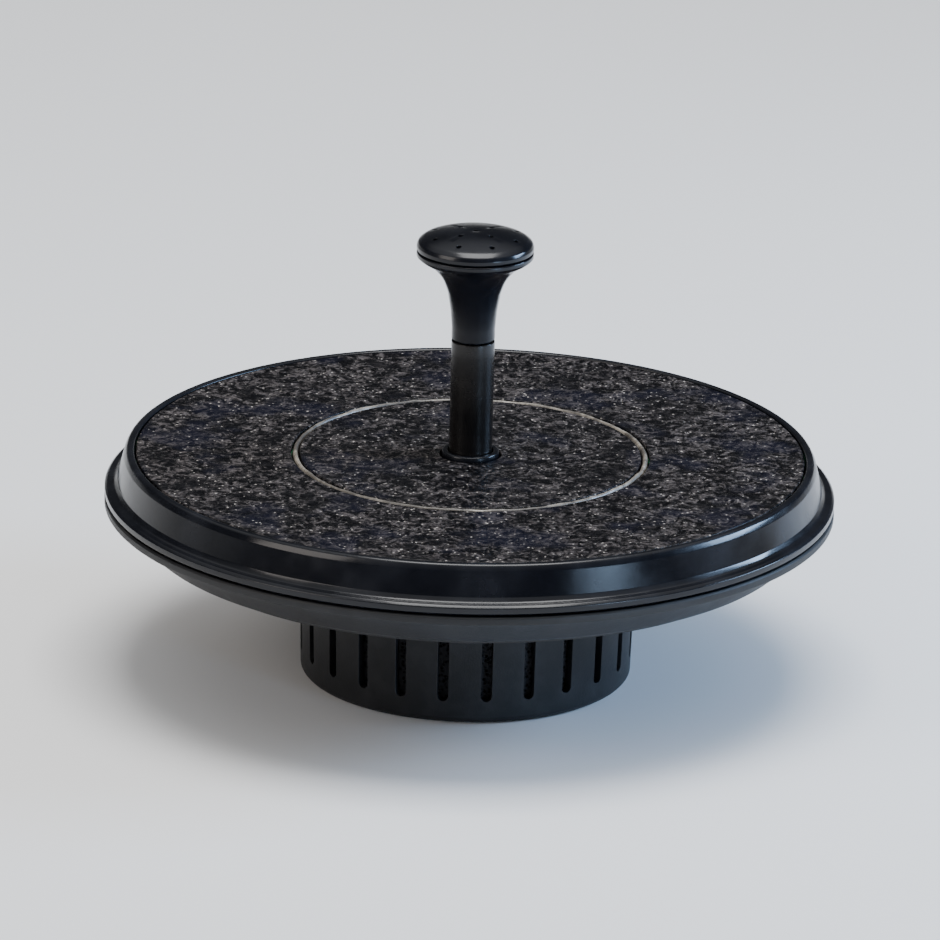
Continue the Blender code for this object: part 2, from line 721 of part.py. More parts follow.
# ---------------------------------------------------------------- pump cover
pump_cover = turned(
    "pump_cover",
    [
        (5.0, 4.8), (10.6, 4.8), (10.6, 5.2), (9.2, 5.2), (9.2, 6.7), (10.6, 6.7),
        (10.6, 7.4), (12.6, 7.4), (12.6, 8.7), (12.3, 9.0), (6.6, 9.0), (6.4, 11.3),
        (6.1, 11.6), (5.0, 11.6),
    ],
    cover_frame, BLACK, 32,
)
for k in range(3):
    join(pump_cover, box(
        f"cover_spoke_{k}", (2.4, -0.6, 7.6), (5.6, 0.6, 9.4), cover_frame,
        turn=(0, 0, math.tau * k / 3), helper=True,
    ))
join(pump_cover, cylinder(
    "spider_hub", 3.0, 5.4, 10.6, cover_frame, steps=18, helper=True
))
for side, angle in enumerate(HOOKS):
    join(pump_cover, box(
        f"cover_grip_{side}", (11.8, -2.0, 7.45), (13.6, 2.0, 9.6), cover_frame,
        turn=(0, 0, math.radians(angle + 30)), helper=True,
    ))
    # The cover's turn brings this notch under the hook.
    cut(pump_cover, box(
        f"cover_notch_{side}", (11.3, -2.6, 7.0), (15.0, 2.6, 10.0), cover_frame,
        turn=(0, 0, math.radians(angle - COVER_TURN)), helper=True,
    ))
cut(pump_cover, cylinder(
    "bush_seat", 2.1, 4.0, 9.8, cover_frame, steps=16, helper=True
))
shaft_bush_front = turned(
    "shaft_bush_front",
    [(1.1, 5.6), (1.85, 5.6), (1.85, 9.6), (0.0, 9.6), (0.0, 9.4), (1.1, 9.4)],
    cover_frame, RUBBER, 16,
)
cover_seal = turned(
    "cover_seal", ring_section(10.1, 0.65, 5.95), cover_frame, RUBBER, MID
)

# ------------------------------------------------------------------ strainer
strainer_basket = turned(
    "strainer_basket",
    [
        (0.0, 0.0), (35.6, 0.0), (36.4, 0.8), (37.2, 22.0), (BASKET_R, 27.0),
        (BASKET_R, BASKET_RIM_Z), (35.3, BASKET_RIM_Z), (35.2, 23.0),
        (34.5, BASKET_FLOOR), (0.0, BASKET_FLOOR),
    ][::-1],
    strainer_frame, BLACK_MATT, BIG,
)
cut(strainer_basket, boxes(
    "wall_slots", ((32.0, -1.2, 5.0), (40.0, 1.2, 21.0)), strainer_frame,
    [math.tau * (k + 0.5) / SLOTS for k in range(SLOTS)],
))
cut(strainer_basket, boxes(
    "floor_slots", ((13.0, -1.3, -2.0), (29.0, 1.3, 4.0)), strainer_frame,
    [math.tau * (k + 0.5) / FLOOR_SLOTS for k in range(FLOOR_SLOTS)],
))
filter_sponge = turned(
    "filter_sponge",
    [(30.5, 2.4), (34.1, 2.4), (34.4, 12.0), (34.4, 24.0), (30.5, 24.0)],
    strainer_frame, SPONGE, 36,
)

# ---------------------------------------------------------- riser and nozzle
# Local heights in the riser's frame start at the riser's lower end.
riser_tube = turned(
    "riser_tube",
    [
        (RISER_BORE, 0.0), (RISER_R - 0.4, 0.0), (RISER_R, 0.5), (RISER_R, 1.8),
        (3.95, 1.8), (3.95, 3.3), (RISER_R, 3.3),
        (RISER_R, RISER_TOP_Z - RISER_BOTTOM_Z - 0.15),
        (RISER_R - 0.15, RISER_TOP_Z - RISER_BOTTOM_Z),
        (RISER_BORE, RISER_TOP_Z - RISER_BOTTOM_Z),
    ],
    riser_frame, BLACK, 24,
)
riser_seal = turned(
    "riser_seal", ring_section(4.48, 0.42, 2.55), riser_frame, RUBBER, 20
)
# Local heights in the nozzle's frame start at the riser's top.
nozzle_body = turned(
    "nozzle_body",
    [
        (2.0, -10.0), (2.7, -10.0), (2.95, -9.6), (2.95, 0.3), (RISER_R - 0.15, 0.3),
        (RISER_R, 0.45), (RISER_R, 3.0), (5.1, 7.0), (5.8, 11.0), (7.0, 14.4),
        (9.4, 17.0), (12.1, 18.6), (HEAD_R, 19.3), (HEAD_R, 20.3), (11.2, 20.3),
        (11.2, 19.9), (8.6, 18.4), (6.2, 16.6), (4.4, 13.6), (3.2, 8.0),
        (2.0, 4.0),
    ],
    nozzle_frame, BLACK, 32,
)


def cap_profile():
    """A shallow dome with a turned-down rim and a short spigot inside."""
    top = NOZZLE_TOP_Z - RISER_TOP_Z
    return [
        (0.0, top), (4.5, top - 0.2), (8.6, top - 0.8), (11.4, top - 1.7),
        (12.5, top - 2.5), (HEAD_R, top - 3.2), (HEAD_R, 20.6), (11.3, 20.6),
        (11.3, top - 3.0), (8.2, top - 2.1), (4.5, top - 1.5), (0.0, top - 1.3),
    ]


nozzle_cap = turned("nozzle_cap", cap_profile(), nozzle_frame, BLACK, 32)
spray = bmesh.new()
for count, radius, lean in ((1, 0.0, 0.0), (4, 4.6, 3.0), (8, 9.4, 6.0)):
    for k in range(count):
        made = bmesh.ops.create_cone(
            spray, cap_ends=True, segments=8, radius1=0.6 * MM, radius2=0.6 * MM,
            depth=8 * MM,
        )["verts"]
        tilt = math.radians(lean)
        around = math.tau * (k + 0.5) / count if count > 1 else 0.0
        for v in made:
            x, y, z = v.co
            x, z = x * math.cos(tilt) + z * math.sin(tilt), (
                z * math.cos(tilt) - x * math.sin(tilt)
            )
            x += radius * MM
            z += (NOZZLE_TOP_Z - RISER_TOP_Z - 1.6) * MM
            v.co = Vector((
                x * math.cos(around) - y * math.sin(around),
                x * math.sin(around) + y * math.cos(around), z,
            ))
cut(nozzle_cap, place(from_bmesh("spray_holes", spray), nozzle_frame, helper=True))
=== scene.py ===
import math

import bmesh
import bpy
from mathutils import Matrix, Vector, noise


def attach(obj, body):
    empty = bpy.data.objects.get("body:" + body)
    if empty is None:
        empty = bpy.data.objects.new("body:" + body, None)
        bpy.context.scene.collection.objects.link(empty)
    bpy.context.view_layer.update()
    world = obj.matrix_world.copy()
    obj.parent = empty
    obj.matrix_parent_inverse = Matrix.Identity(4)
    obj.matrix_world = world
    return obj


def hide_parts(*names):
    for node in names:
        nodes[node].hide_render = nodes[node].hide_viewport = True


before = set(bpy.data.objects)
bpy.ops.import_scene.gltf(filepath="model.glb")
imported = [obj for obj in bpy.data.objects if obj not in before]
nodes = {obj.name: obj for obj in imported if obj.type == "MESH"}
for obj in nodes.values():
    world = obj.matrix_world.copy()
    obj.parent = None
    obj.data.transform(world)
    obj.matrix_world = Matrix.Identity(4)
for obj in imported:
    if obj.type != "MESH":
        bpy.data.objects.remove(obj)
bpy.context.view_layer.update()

MM = 0.001
TAU = math.tau
PUMP_Y, PUMP_Z = -6.0, 16.0
PUMP_SCREWS = ((-15.0, 10.5), (-15.0, -21.5), (4.0, -21.5))
SHELL_SCREWS = [
    (62.0 * math.cos(TAU * (k + 0.5) / 6), 62.0 * math.sin(TAU * (k + 0.5) / 6))
    for k in range(6)
]
# Local Z of a piece that is turned about the rotor axis becomes the world's X.
TO_PUMP = Matrix.Translation((0, PUMP_Y * MM, PUMP_Z * MM)) @ Matrix.Rotation(
    math.pi / 2, 4, "Y"
)


# ================================================================== materials
class Look:
    """A Principled material whose colour, roughness and bump come from nodes.

    Every texture reads object coordinates in millimetres, so its detail has its
    real size on every piece.
    """

    def __init__(self, name, **fixed):
        self.material = bpy.data.materials.new(name)
        self.material.use_nodes = True
        self.tree = self.material.node_tree
        self.shader = self.tree.nodes["Principled BSDF"]
        for key, value in fixed.items():
            self.shader.inputs[key.replace("_", " ")].default_value = value
        coords = self.tree.nodes.new("ShaderNodeTexCoord")
        scale = self.tree.nodes.new("ShaderNodeVectorMath")
        scale.operation = "SCALE"
        scale.inputs["Scale"].default_value = 1000.0
        self.tree.links.new(coords.outputs["Object"], scale.inputs[0])
        self.mm = scale.outputs[0]

    def node(self, kind, **settings):
        made = self.tree.nodes.new(kind)
        for key, value in settings.items():
            setattr(made, key, value)
        return made

    def wire(self, source, target):
        self.tree.links.new(source, target)
        return source

    def stretched(self, x, y, z):
        """The same coordinates, scaled along each axis."""
        mapping = self.node("ShaderNodeMapping")
        mapping.inputs["Scale"].default_value = (x, y, z)
        self.wire(self.mm, mapping.inputs["Vector"])
        return mapping.outputs["Vector"]

    def noise(self, size, detail=3.0, rough=0.5, vector=None, distortion=0.0):
        """Perlin noise with features about size millimetres across."""
        made = self.node("ShaderNodeTexNoise")
        made.inputs["Scale"].default_value = 1.0 / size
        made.inputs["Detail"].default_value = detail
        made.inputs["Roughness"].default_value = rough
        made.inputs["Distortion"].default_value = distortion
        self.wire(vector or self.mm, made.inputs["Vector"])
        return made.outputs["Fac"]

    def cells(self, size, feature="F1", randomness=1.0, vector=None):
        made = self.node("ShaderNodeTexVoronoi", feature=feature)
        made.inputs["Scale"].default_value = 1.0 / size
        made.inputs["Randomness"].default_value = randomness
        self.wire(vector or self.mm, made.inputs["Vector"])
        return made.outputs["Distance"]

    def ramp(self, source, low, high, to_low=0.0, to_high=1.0):
        made = self.node("ShaderNodeMapRange", clamp=True)
        for key, value in zip(
            ("From Min", "From Max", "To Min", "To Max"), (low, high, to_low, to_high)
        ):
            made.inputs[key].default_value = value
        self.wire(source, made.inputs["Value"])
        return made.outputs["Result"]

    def math(self, operation, a, b=None):
        made = self.node("ShaderNodeMath", operation=operation)
        for value, socket in zip((a, b), made.inputs):
            if value is None:
                continue
            if isinstance(value, (int, float)):
                socket.default_value = value
            else:
                self.wire(value, socket)
        return made.outputs[0]

    def mix(self, factor, a, b):
        made = self.node("ShaderNodeMix", data_type="RGBA")
        self.wire(factor, made.inputs["Factor"])
        for value, socket in ((a, made.inputs[6]), (b, made.inputs[7])):
            if isinstance(value, tuple):
                socket.default_value = (*value, 1.0)
            else:
                self.wire(value, socket)
        return made.outputs[2]

    def colour(self, source):
        self.wire(source, self.shader.inputs["Base Color"])

    def roughness(self, source):
        self.wire(source, self.shader.inputs["Roughness"])

    def bump(self, source, height, strength=1.0):
        """Raises the surface by height millimetres; several calls add up."""
        made = self.node("ShaderNodeBump")
        made.inputs["Strength"].default_value = strength
        made.inputs["Distance"].default_value = height * MM
        self.wire(source, made.inputs["Height"])
        old = self.shader.inputs["Normal"]
        if old.is_linked:
            self.wire(old.links[0].from_socket, made.inputs["Normal"])
        self.wire(made.outputs["Normal"], old)


def gloss_plastic(name, base, dust, rough=0.2):
    """Injection-moulded gloss plastic: faint flow, smudges and hairline wear."""
    look = Look(name, Coat_Weight=0.08, Coat_Roughness=0.09, Specular_IOR_Level=0.3)
    smudge = look.noise(14.0, 4.0, 0.55)
    fine = look.noise(0.9, 5.0, 0.6)
    hair = look.noise(0.5, 2.0, 0.5, look.stretched(0.2, 0.2, 1.0))
    look.colour(look.mix(look.ramp(smudge, 0.42, 0.72), base, dust))
    look.roughness(look.math(
        "ADD", look.ramp(smudge, 0.3, 0.75, rough - 0.06, rough + 0.14),
        look.ramp(hair, 0.62, 0.74, 0.0, 0.03),
    ))
    look.bump(fine, 0.012, 0.5)
    look.bump(look.noise(6.0, 2.0), 0.05, 0.35)
    return look.material


def spark_plastic(name, base, worn, rough=0.5, grain=0.45):
    """Spark-eroded matt plastic: an even fine grain with scuffs."""
    look = Look(name, Specular_IOR_Level=0.36)
    scuff = look.noise(9.0, 5.0, 0.62)
    grains = look.cells(grain)
    look.colour(look.mix(look.ramp(scuff, 0.45, 0.78), base, worn))
    look.roughness(look.ramp(scuff, 0.3, 0.8, rough - 0.08, rough + 0.12))
    look.bump(grains, 0.035, 0.55)
    look.bump(look.noise(0.25, 2.0), 0.01, 0.4)
    return look.material


def deck_skin(name, lift=0.0):
    """The deck's wet-looking granular skin: near black, with brownish clumps of grains, bluish patches, glossy spots
    between the matt ones, and pale specks where the grains rise, which are painted glints."""
    look = Look(
        name, Coat_Weight=0.05, Coat_Roughness=0.07, Specular_IOR_Level=0.1
    )
    clump = look.noise(7.5, 4.0, 0.62, distortion=0.6)
    broad = look.noise(17.0, 3.0, 0.55)
    grain = look.noise(2.7, 6.0, 0.74, distortion=1.1)
    fine = look.noise(0.8, 4.0, 0.7)
    specks = look.cells(1.3)
    tone = look.mix(
        look.ramp(grain, 0.475, 0.585),
        (0.0008 + lift, 0.0008 + lift, 0.0016 + lift),
        (0.094 + lift, 0.083 + lift, 0.082 + lift),
    )
    tone = look.mix(look.ramp(fine, 0.53, 0.42, 0.0, 0.8), tone, (0.0016, 0.0016, 0.0026))
    tone = look.mix(look.ramp(clump, 0.48, 0.38, 0.0, 0.8), tone, (0.0018, 0.0018, 0.0030))
    tone = look.mix(look.ramp(broad, 0.52, 0.64, 0.0, 0.4), tone, (0.006, 0.007, 0.020))
    # Painted glints: pale specks where the grains rise stand in for sparkle off the wet skin.
    painted_glint_specks = look.math(
        "MULTIPLY", look.ramp(specks, 0.24, 0.08), look.ramp(grain, 0.48, 0.56)
    )
    tone = look.mix(painted_glint_specks, tone, (0.50, 0.46, 0.42))
    look.colour(tone)
    look.roughness(look.ramp(look.noise(1.9, 4.0, 0.65), 0.36, 0.62, 0.12, 0.55))
    look.bump(grain, 0.30, 0.9)
    look.bump(specks, 0.12, 0.7)
    look.bump(fine, 0.05, 0.7)
    return look.material


def pale_bead(name):
    """A laid bead of pale sealant, dirty in stretches."""
    look = Look(name, Coat_Weight=0.2, Coat_Roughness=0.2)
    dirt = look.noise(2.6, 5.0, 0.68)
    stretch = look.noise(13.0, 3.0, 0.6)
    tone = look.mix(look.ramp(dirt, 0.44, 0.60), (0.31, 0.28, 0.235), (0.10, 0.088, 0.074))
    look.colour(look.mix(look.ramp(stretch, 0.45, 0.58, 0.0, 0.85), tone, (0.050, 0.044, 0.039)))
    look.roughness(look.ramp(dirt, 0.3, 0.7, 0.3, 0.6))
    look.bump(look.noise(0.8, 4.0), 0.08, 0.6)
    return look.material


def rubber(name, base=(0.012, 0.012, 0.013)):
    look = Look(name, Specular_IOR_Level=0.35)
    bloom = look.noise(4.0, 5.0, 0.6)
    look.colour(look.mix(look.ramp(bloom, 0.45, 0.8), base, tuple(c * 2.6 + 0.012 for c in base)))
    look.roughness(look.ramp(bloom, 0.3, 0.7, 0.55, 0.8))
    look.bump(look.noise(0.3, 3.0), 0.02, 0.5)
    return look.material


def sponge(name, base, pore_shade, size=0.9):
    look = Look(name, Specular_IOR_Level=0.15)
    pores = look.cells(size)
    # The pore colour is painted shade: it darkens the cell hollows that the bump sinks.
    look.colour(look.mix(look.ramp(pores, 0.20, 0.55), pore_shade, base))
    look.roughness(look.ramp(pores, 0.0, 0.6, 0.98, 0.85))
    look.bump(look.ramp(pores, 0.10, 0.5), 0.35, 0.9)
    look.bump(look.noise(0.25, 3.0), 0.05, 0.6)
    return look.material


def metal(name, base, tarnish, rough, lines=None, line_size=0.12):
    """Bare metal with a tarnish, and drawn or turned lines if given."""
    look = Look(name, Metallic=1.0)
    cloud = look.noise(2.5, 5.0, 0.6)
    look.colour(look.mix(look.ramp(cloud, 0.45, 0.75), base, tarnish))
    if lines:
        streak = look.noise(line_size, 2.0, 0.5, look.stretched(*lines))
        look.roughness(look.ramp(streak, 0.3, 0.7, rough - 0.08, rough + 0.14))
        look.bump(streak, 0.012, 0.6)
    else:
        look.roughness(look.ramp(cloud, 0.3, 0.75, rough - 0.05, rough + 0.15))
        look.bump(look.noise(0.4, 4.0), 0.01, 0.5)
    return look.material


def stack(name, base, gap, pitch, axis=0, metallic=1.0, rough=0.4):
    """Thin plates or windings: fine lines that repeat along an axis."""
    look = Look(name, Metallic=metallic)
    parts = look.node("ShaderNodeSeparateXYZ")
    look.wire(look.mm, parts.inputs[0])
    wave = look.math("SINE", look.math("MULTIPLY", parts.outputs[axis], TAU / pitch))
    cloud = look.noise(1.6, 4.0, 0.6)
    look.colour(look.mix(look.ramp(wave, -0.2, -0.95), base, gap))
    look.roughness(look.ramp(cloud, 0.3, 0.7, rough - 0.08, rough + 0.12))
    look.bump(wave, pitch * 0.16, 0.9)
    return look.material


def board(name):
    """Green solder mask with tracks that show through it."""
    look = Look(name, Coat_Weight=0.4, Coat_Roughness=0.15)
    tracks = look.node("ShaderNodeTexBrick")
    tracks.inputs["Scale"].default_value = 0.55
    tracks.inputs["Mortar Size"].default_value = 0.06
    tracks.inputs["Color1"].default_value = (0, 0, 0, 1)
    tracks.inputs["Color2"].default_value = (0, 0, 0, 1)
    tracks.inputs["Mortar"].default_value = (1, 1, 1, 1)
    look.wire(look.mm, tracks.inputs["Vector"])
    line = look.ramp(tracks.outputs["Color"], 0.2, 0.8)
    mask = look.mix(look.ramp(look.noise(6.0), 0.3, 0.7), (0.010, 0.115, 0.048), (0.014, 0.15, 0.06))
    look.colour(look.mix(line, mask, (0.04, 0.26, 0.12)))
    look.roughness(look.ramp(look.noise(2.0), 0.3, 0.7, 0.28, 0.42))
    look.bump(line, 0.05, 0.6)
    return look.material


def plain(name, base, other, rough, size=3.0, metallic=0.0, grain=0.3, height=0.015, **fixed):
    """Any other finish: two tones in a cloud, and a fine grain."""
    look = Look(name, Metallic=metallic, **fixed)
    cloud = look.noise(size, 4.0, 0.6)
    look.colour(look.mix(look.ramp(cloud, 0.38, 0.7), base, other))
    look.roughness(look.ramp(cloud, 0.3, 0.7, rough - 0.06, rough + 0.1))
    look.bump(look.noise(grain, 3.0), height, 0.5)
    return look.material


GLOSS = gloss_plastic("moulded_gloss_black", (0.0038, 0.0043, 0.0065), (0.0085, 0.0095, 0.0135), 0.18)
TUBE = gloss_plastic("riser_satin_black", (0.0040, 0.0036, 0.0038), (0.013, 0.011, 0.010), 0.2)
MATT = spark_plastic("moulded_matt_black", (0.0065, 0.0068, 0.0080), (0.020, 0.020, 0.022))
DECK = deck_skin("deck_granular_skin")
HUB = deck_skin("hub_granular_skin", 0.001)
BEAD = pale_bead("pale_sealing_bead")
RUBBER = rubber("black_rubber_seal")
# The second colour of each sponge is painted shade in its pores.
SPONGE = sponge("black_filter_sponge", (0.030, 0.030, 0.033), (0.002, 0.002, 0.002))
FOAM = sponge("white_buoyancy_foam", (0.84, 0.84, 0.81), (0.62, 0.62, 0.60), 1.4)
STEEL = metal("stainless_screw_steel", (0.62, 0.61, 0.59), (0.40, 0.39, 0.37), 0.27)
LAMINATION = stack("laminated_core_steel", (0.30, 0.30, 0.32), (0.05, 0.05, 0.055), 0.5)
COPPER = stack("enamelled_copper_winding", (0.62, 0.24, 0.085), (0.20, 0.05, 0.02), 0.28, 0, 0.9, 0.3)
BOARD = board("green_circuit_board")
CELL = plain("solar_cell_silicon", (0.006, 0.009, 0.028), (0.010, 0.016, 0.045), 0.22, 5.0, Coat_Weight=0.5)
RESIN = plain("cast_epoxy_resin", (0.012, 0.012, 0.014), (0.024, 0.023, 0.024), 0.3, 4.0, height=0.03, Coat_Weight=0.3)
FERRITE = plain("ground_ferrite_magnet", (0.045, 0.043, 0.043), (0.085, 0.080, 0.078), 0.48, 0.7)
CERAMIC = plain("polished_ceramic_shaft", (0.80, 0.78, 0.72), (0.70, 0.675, 0.61), 0.16, 2.0, height=0.004, Coat_Weight=0.4)
WHITE = plain("moulded_white_plastic", (0.74, 0.74, 0.715), (0.62, 0.62, 0.59), 0.36, 3.0)
CAN = metal("drawn_aluminium_can", (0.66, 0.67, 0.69), (0.50, 0.51, 0.53), 0.3, (1.0, 1.0, 0.05))
RED = plain("red_wire_insulation", (0.42, 0.016, 0.012), (0.30, 0.012, 0.010), 0.36, 2.0)

NODE_LOOKS = {
    "shell_gasket": RUBBER, "float_foam": FOAM, "panel_board": BOARD,
    "hub_seal": RUBBER, "outlet_seal": RUBBER, "control_board": BOARD,
    "capacitor": CAN, "inductor": COPPER, "controller_chip": RESIN,
    "panel_lead_positive": RED, "panel_lead_negative": RUBBER, "motor_lead": RUBBER,
    "cable_grommet": RUBBER, "stator_core": LAMINATION, "motor_board": BOARD,
    "potting_plug": RESIN, "rotor_shaft": CERAMIC, "shaft_bush_rear": RUBBER,
    "rotor_magnet": FERRITE, "impeller": WHITE, "shaft_bush_front": RUBBER,
    "cover_seal": RUBBER, "riser_seal": RUBBER,
    "upper_shell": GLOSS, "lower_shell": MATT, "panel_cover": DECK, "hub_plate": HUB,
    "hub_ring": BEAD, "discharge_pipe": GLOSS, "pump_casing": MATT, "pump_cover": MATT,
    "strainer_basket": MATT, "filter_sponge": SPONGE, "riser_tube": TUBE,
    "nozzle_body": GLOSS, "nozzle_cap": GLOSS,
    **{f"panel_cell_{k}": CELL for k in range(1, 9)},
    **{f"stator_coil_{k}": COPPER for k in range(1, 5)},
    **{f"shell_screw_{k}": STEEL for k in range(1, 7)},
    **{f"pump_screw_{k}": STEEL for k in range(1, 4)},
}
for name, node in nodes.items():
    look = NODE_LOOKS[name]
    if not node.material_slots:
        node.data.materials.append(look)
    for material_slot in node.material_slots:
        material_slot.material = look


# ====================================================================== shapes
def link(obj):
    bpy.context.scene.collection.objects.link(obj)
    return obj


def finish(name, bm, look, sharp=32.0, matrix=None):
    """Closes off a bmesh as a shaded object in the row frame."""
    bmesh.ops.recalc_face_normals(bm, faces=bm.faces)
    mesh = bpy.data.meshes.new(name)
    bm.to_mesh(mesh)
    bm.free()
    if matrix is not None:
        mesh.transform(matrix)
    mesh.shade_smooth()
    mesh.set_sharp_from_angle(angle=math.radians(sharp))
    mesh.materials.append(look)
    return link(bpy.data.objects.new(name, mesh))


def rounded(points, radius, steps=4):
    """A closed (r, z) outline with its corners rounded, where there's room.

    A point may carry its own radius as a third number.
    """
    made = []
    count = len(points)
    for i in range(count):
        here = Vector(points[i][:2])
        own = points[i][2] if len(points[i]) > 2 else radius
        before, after = Vector(points[i - 1][:2]), Vector(points[(i + 1) % count][:2])
        a, b = before - here, after - here
        if own <= 0 or a.length < 1e-6 or b.length < 1e-6:
            made.append(tuple(here))
            continue
        angle = a.angle(b)
        if angle > math.radians(170) or angle < math.radians(4):
            made.append(tuple(here))
            continue
        reach = min(own / math.tan(angle / 2), a.length * 0.48, b.length * 0.48)
        own = reach * math.tan(angle / 2)
        start, end = here + a.normalized() * reach, here + b.normalized() * reach
        centre = here + (a.normalized() + b.normalized()).normalized() * (
            own / math.sin(angle / 2)
        )
        first = (start - centre).angle_signed(end - centre, 0.0)
        for k in range(steps + 1):
            t = k / steps
            turn = Matrix.Rotation(-first * t, 2)
            made.append(tuple(centre + turn @ (start - centre)))
    return made


def dense(points, pitch):
    """The same closed outline with long edges split to at most pitch."""
    made = []
    for here, after in zip(points, points[1:] + points[:1]):
        parts = max(1, math.ceil(math.dist(here, after) / pitch))
        for k in range(parts):
            t = k / parts
            made.append(tuple(a + (b - a) * t for a, b in zip(here, after)))
    return made


def lathe_bm(outline, segments, shift=(0.0, 0.0)):
    """A closed (r, z) outline turned about Z; points with r = 0 become poles."""
    bm = bmesh.new()
    rings = []
    for r, z in outline:
        if r < 1e-6:
            rings.append([bm.verts.new((shift[0] * MM, shift[1] * MM, z * MM))])
            continue
        rings.append([
            bm.verts.new((
                (shift[0] + r * math.cos(TAU * k / segments)) * MM,
                (shift[1] + r * math.sin(TAU * k / segments)) * MM, z * MM,
            ))
            for k in range(segments)
        ])
    for a, b in zip(rings, rings[1:] + rings[:1]):
        if len(a) == 1 and len(b) == 1:
            continue
        for k in range(segments):
            n = (k + 1) % segments
            corners = [a[k % len(a)], a[n % len(a)], b[n % len(b)], b[k % len(b)]]
            unique = list(dict.fromkeys(corners))
            if len(unique) > 2:
                bm.faces.new(unique)
    return bm


def lathe(name, outline, look, segments=192, round_by=0.25, steps=3, pitch=None,
          matrix=None, sharp=40.0, shift=(0.0, 0.0)):
    shape = rounded(outline, round_by, steps)
    if pitch:
        shape = dense(shape, pitch)
    return finish(name, lathe_bm(shape, segments, shift), look, sharp, matrix)


def cutter(bm, matrix=None):
    """A helper object for a Boolean, removed once it has been used."""
    bmesh.ops.recalc_face_normals(bm, faces=bm.faces)
    mesh = bpy.data.meshes.new("helper")
    bm.to_mesh(mesh)
    bm.free()
    if matrix is not None:
        mesh.transform(matrix)
    return link(bpy.data.objects.new("helper", mesh))


def clean(mesh, merge=0.0015):
    """Welds what a Boolean or a bevel left almost touching, in millimetres."""
    bm = bmesh.new()
    bm.from_mesh(mesh)
    bmesh.ops.remove_doubles(bm, verts=bm.verts, dist=merge * MM)
    bmesh.ops.dissolve_degenerate(bm, dist=merge * MM, edges=bm.edges)
    loose = [v for v in bm.verts if not v.link_faces]
    bmesh.ops.delete(bm, geom=loose, context="VERTS")
    bmesh.ops.recalc_face_normals(bm, faces=bm.faces)
    bm.to_mesh(mesh)
    bm.free()


def combine(obj, helper, operation="DIFFERENCE"):
    """Applies an exact Boolean to obj and removes the helper."""
    step = obj.modifiers.new("cut", "BOOLEAN")
    step.operation, step.solver, step.object = operation, "EXACT", helper
    step.use_self = False
    graph = bpy.context.evaluated_depsgraph_get()
    mesh = bpy.data.meshes.new_from_object(obj.evaluated_get(graph))
    clean(mesh)
    obj.modifiers.clear()
    old, obj.data = obj.data, mesh
    mesh.name = obj.name
    bpy.data.meshes.remove(old)
    bpy.data.objects.remove(helper, do_unlink=True)
    return obj


def tidy(obj, look, bevel=0.0, segments=2, angle=40.0, sharp=40.0):
    """Rounds what the cuts left sharp, applies it, and shades the result."""
    if bevel:
        step = obj.modifiers.new("edges", "BEVEL")
        step.width = bevel * MM
        step.segments = segments
        step.limit_method = "ANGLE"
        step.angle_limit = math.radians(angle)
        step.harden_normals = False
        step.use_clamp_overlap = True
        step.miter_outer = "MITER_ARC"
        graph = bpy.context.evaluated_depsgraph_get()
        mesh = bpy.data.meshes.new_from_object(obj.evaluated_get(graph))
        clean(mesh)
        obj.modifiers.clear()
        old, obj.data = obj.data, mesh
        mesh.name = obj.name
        bpy.data.meshes.remove(old)
    obj.data.materials.clear()
    obj.data.materials.append(look)
    for face in obj.data.polygons:
        face.material_index = 0
    obj.data.shade_smooth()
    obj.data.set_sharp_from_angle(angle=math.radians(sharp))
    return obj


def slot_bm(width, length, low, high, ends=8):
    """An upright prism with round ends, width by length, along its own X."""
    bm = bmesh.new()
    half, reach = width / 2, length / 2 - width / 2
    outline = [
        (reach + half * math.cos(-math.pi / 2 + math.pi * k / ends),
         half * math.sin(-math.pi / 2 + math.pi * k / ends))
        for k in range(ends + 1)
    ] + [
        (-reach + half * math.cos(math.pi / 2 + math.pi * k / ends),
         half * math.sin(math.pi / 2 + math.pi * k / ends))
        for k in range(ends + 1)
    ]
    face = bm.faces.new([bm.verts.new((x * MM, y * MM, low * MM)) for x, y in outline])
    made = bmesh.ops.extrude_face_region(bm, geom=[face])["geom"]
    bmesh.ops.translate(
        bm, verts=[v for v in made if isinstance(v, bmesh.types.BMVert)],
        vec=(0, 0, (high - low) * MM),
    )
    return bm


def add_copies(target, source, matrices):
    """Adds transformed copies of a bmesh to another, and frees the source."""
    mesh = bpy.data.meshes.new("copy")
    source.to_mesh(mesh)
    source.free()
    for matrix in matrices:
        copied = mesh.copy()
        copied.transform(matrix)
        target.from_mesh(copied)
        bpy.data.meshes.remove(copied)
    bpy.data.meshes.remove(mesh)
    return target


def rod_bm(radius, low, high, sides=24, at=(0, 0), top=None):
    bm = bmesh.new()
    bmesh.ops.create_cone(
        bm, cap_ends=True, segments=sides, radius1=radius * MM,
        radius2=(radius if top is None else top) * MM, depth=(high - low) * MM,
    )
    bmesh.ops.translate(bm, verts=bm.verts, vec=(at[0] * MM, at[1] * MM, (low + high) / 2 * MM))
    return bm


def box_bm(low, high):
    bm = bmesh.new()
    bmesh.ops.create_cube(bm, size=1.0)
    for v in bm.verts:
        v.co = Vector((low[k] + (v.co[k] + 0.5) * (high[k] - low[k])) * MM for k in range(3))
    return bm


def about_z(angle):
    return Matrix.Rotation(angle, 4, "Z")


def add(piece, body, slot, *replaced):
    """Rides the piece on its body and hides the nodes that it stands for."""
    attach(piece, body)
    if replaced:
        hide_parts(*replaced)
    return piece


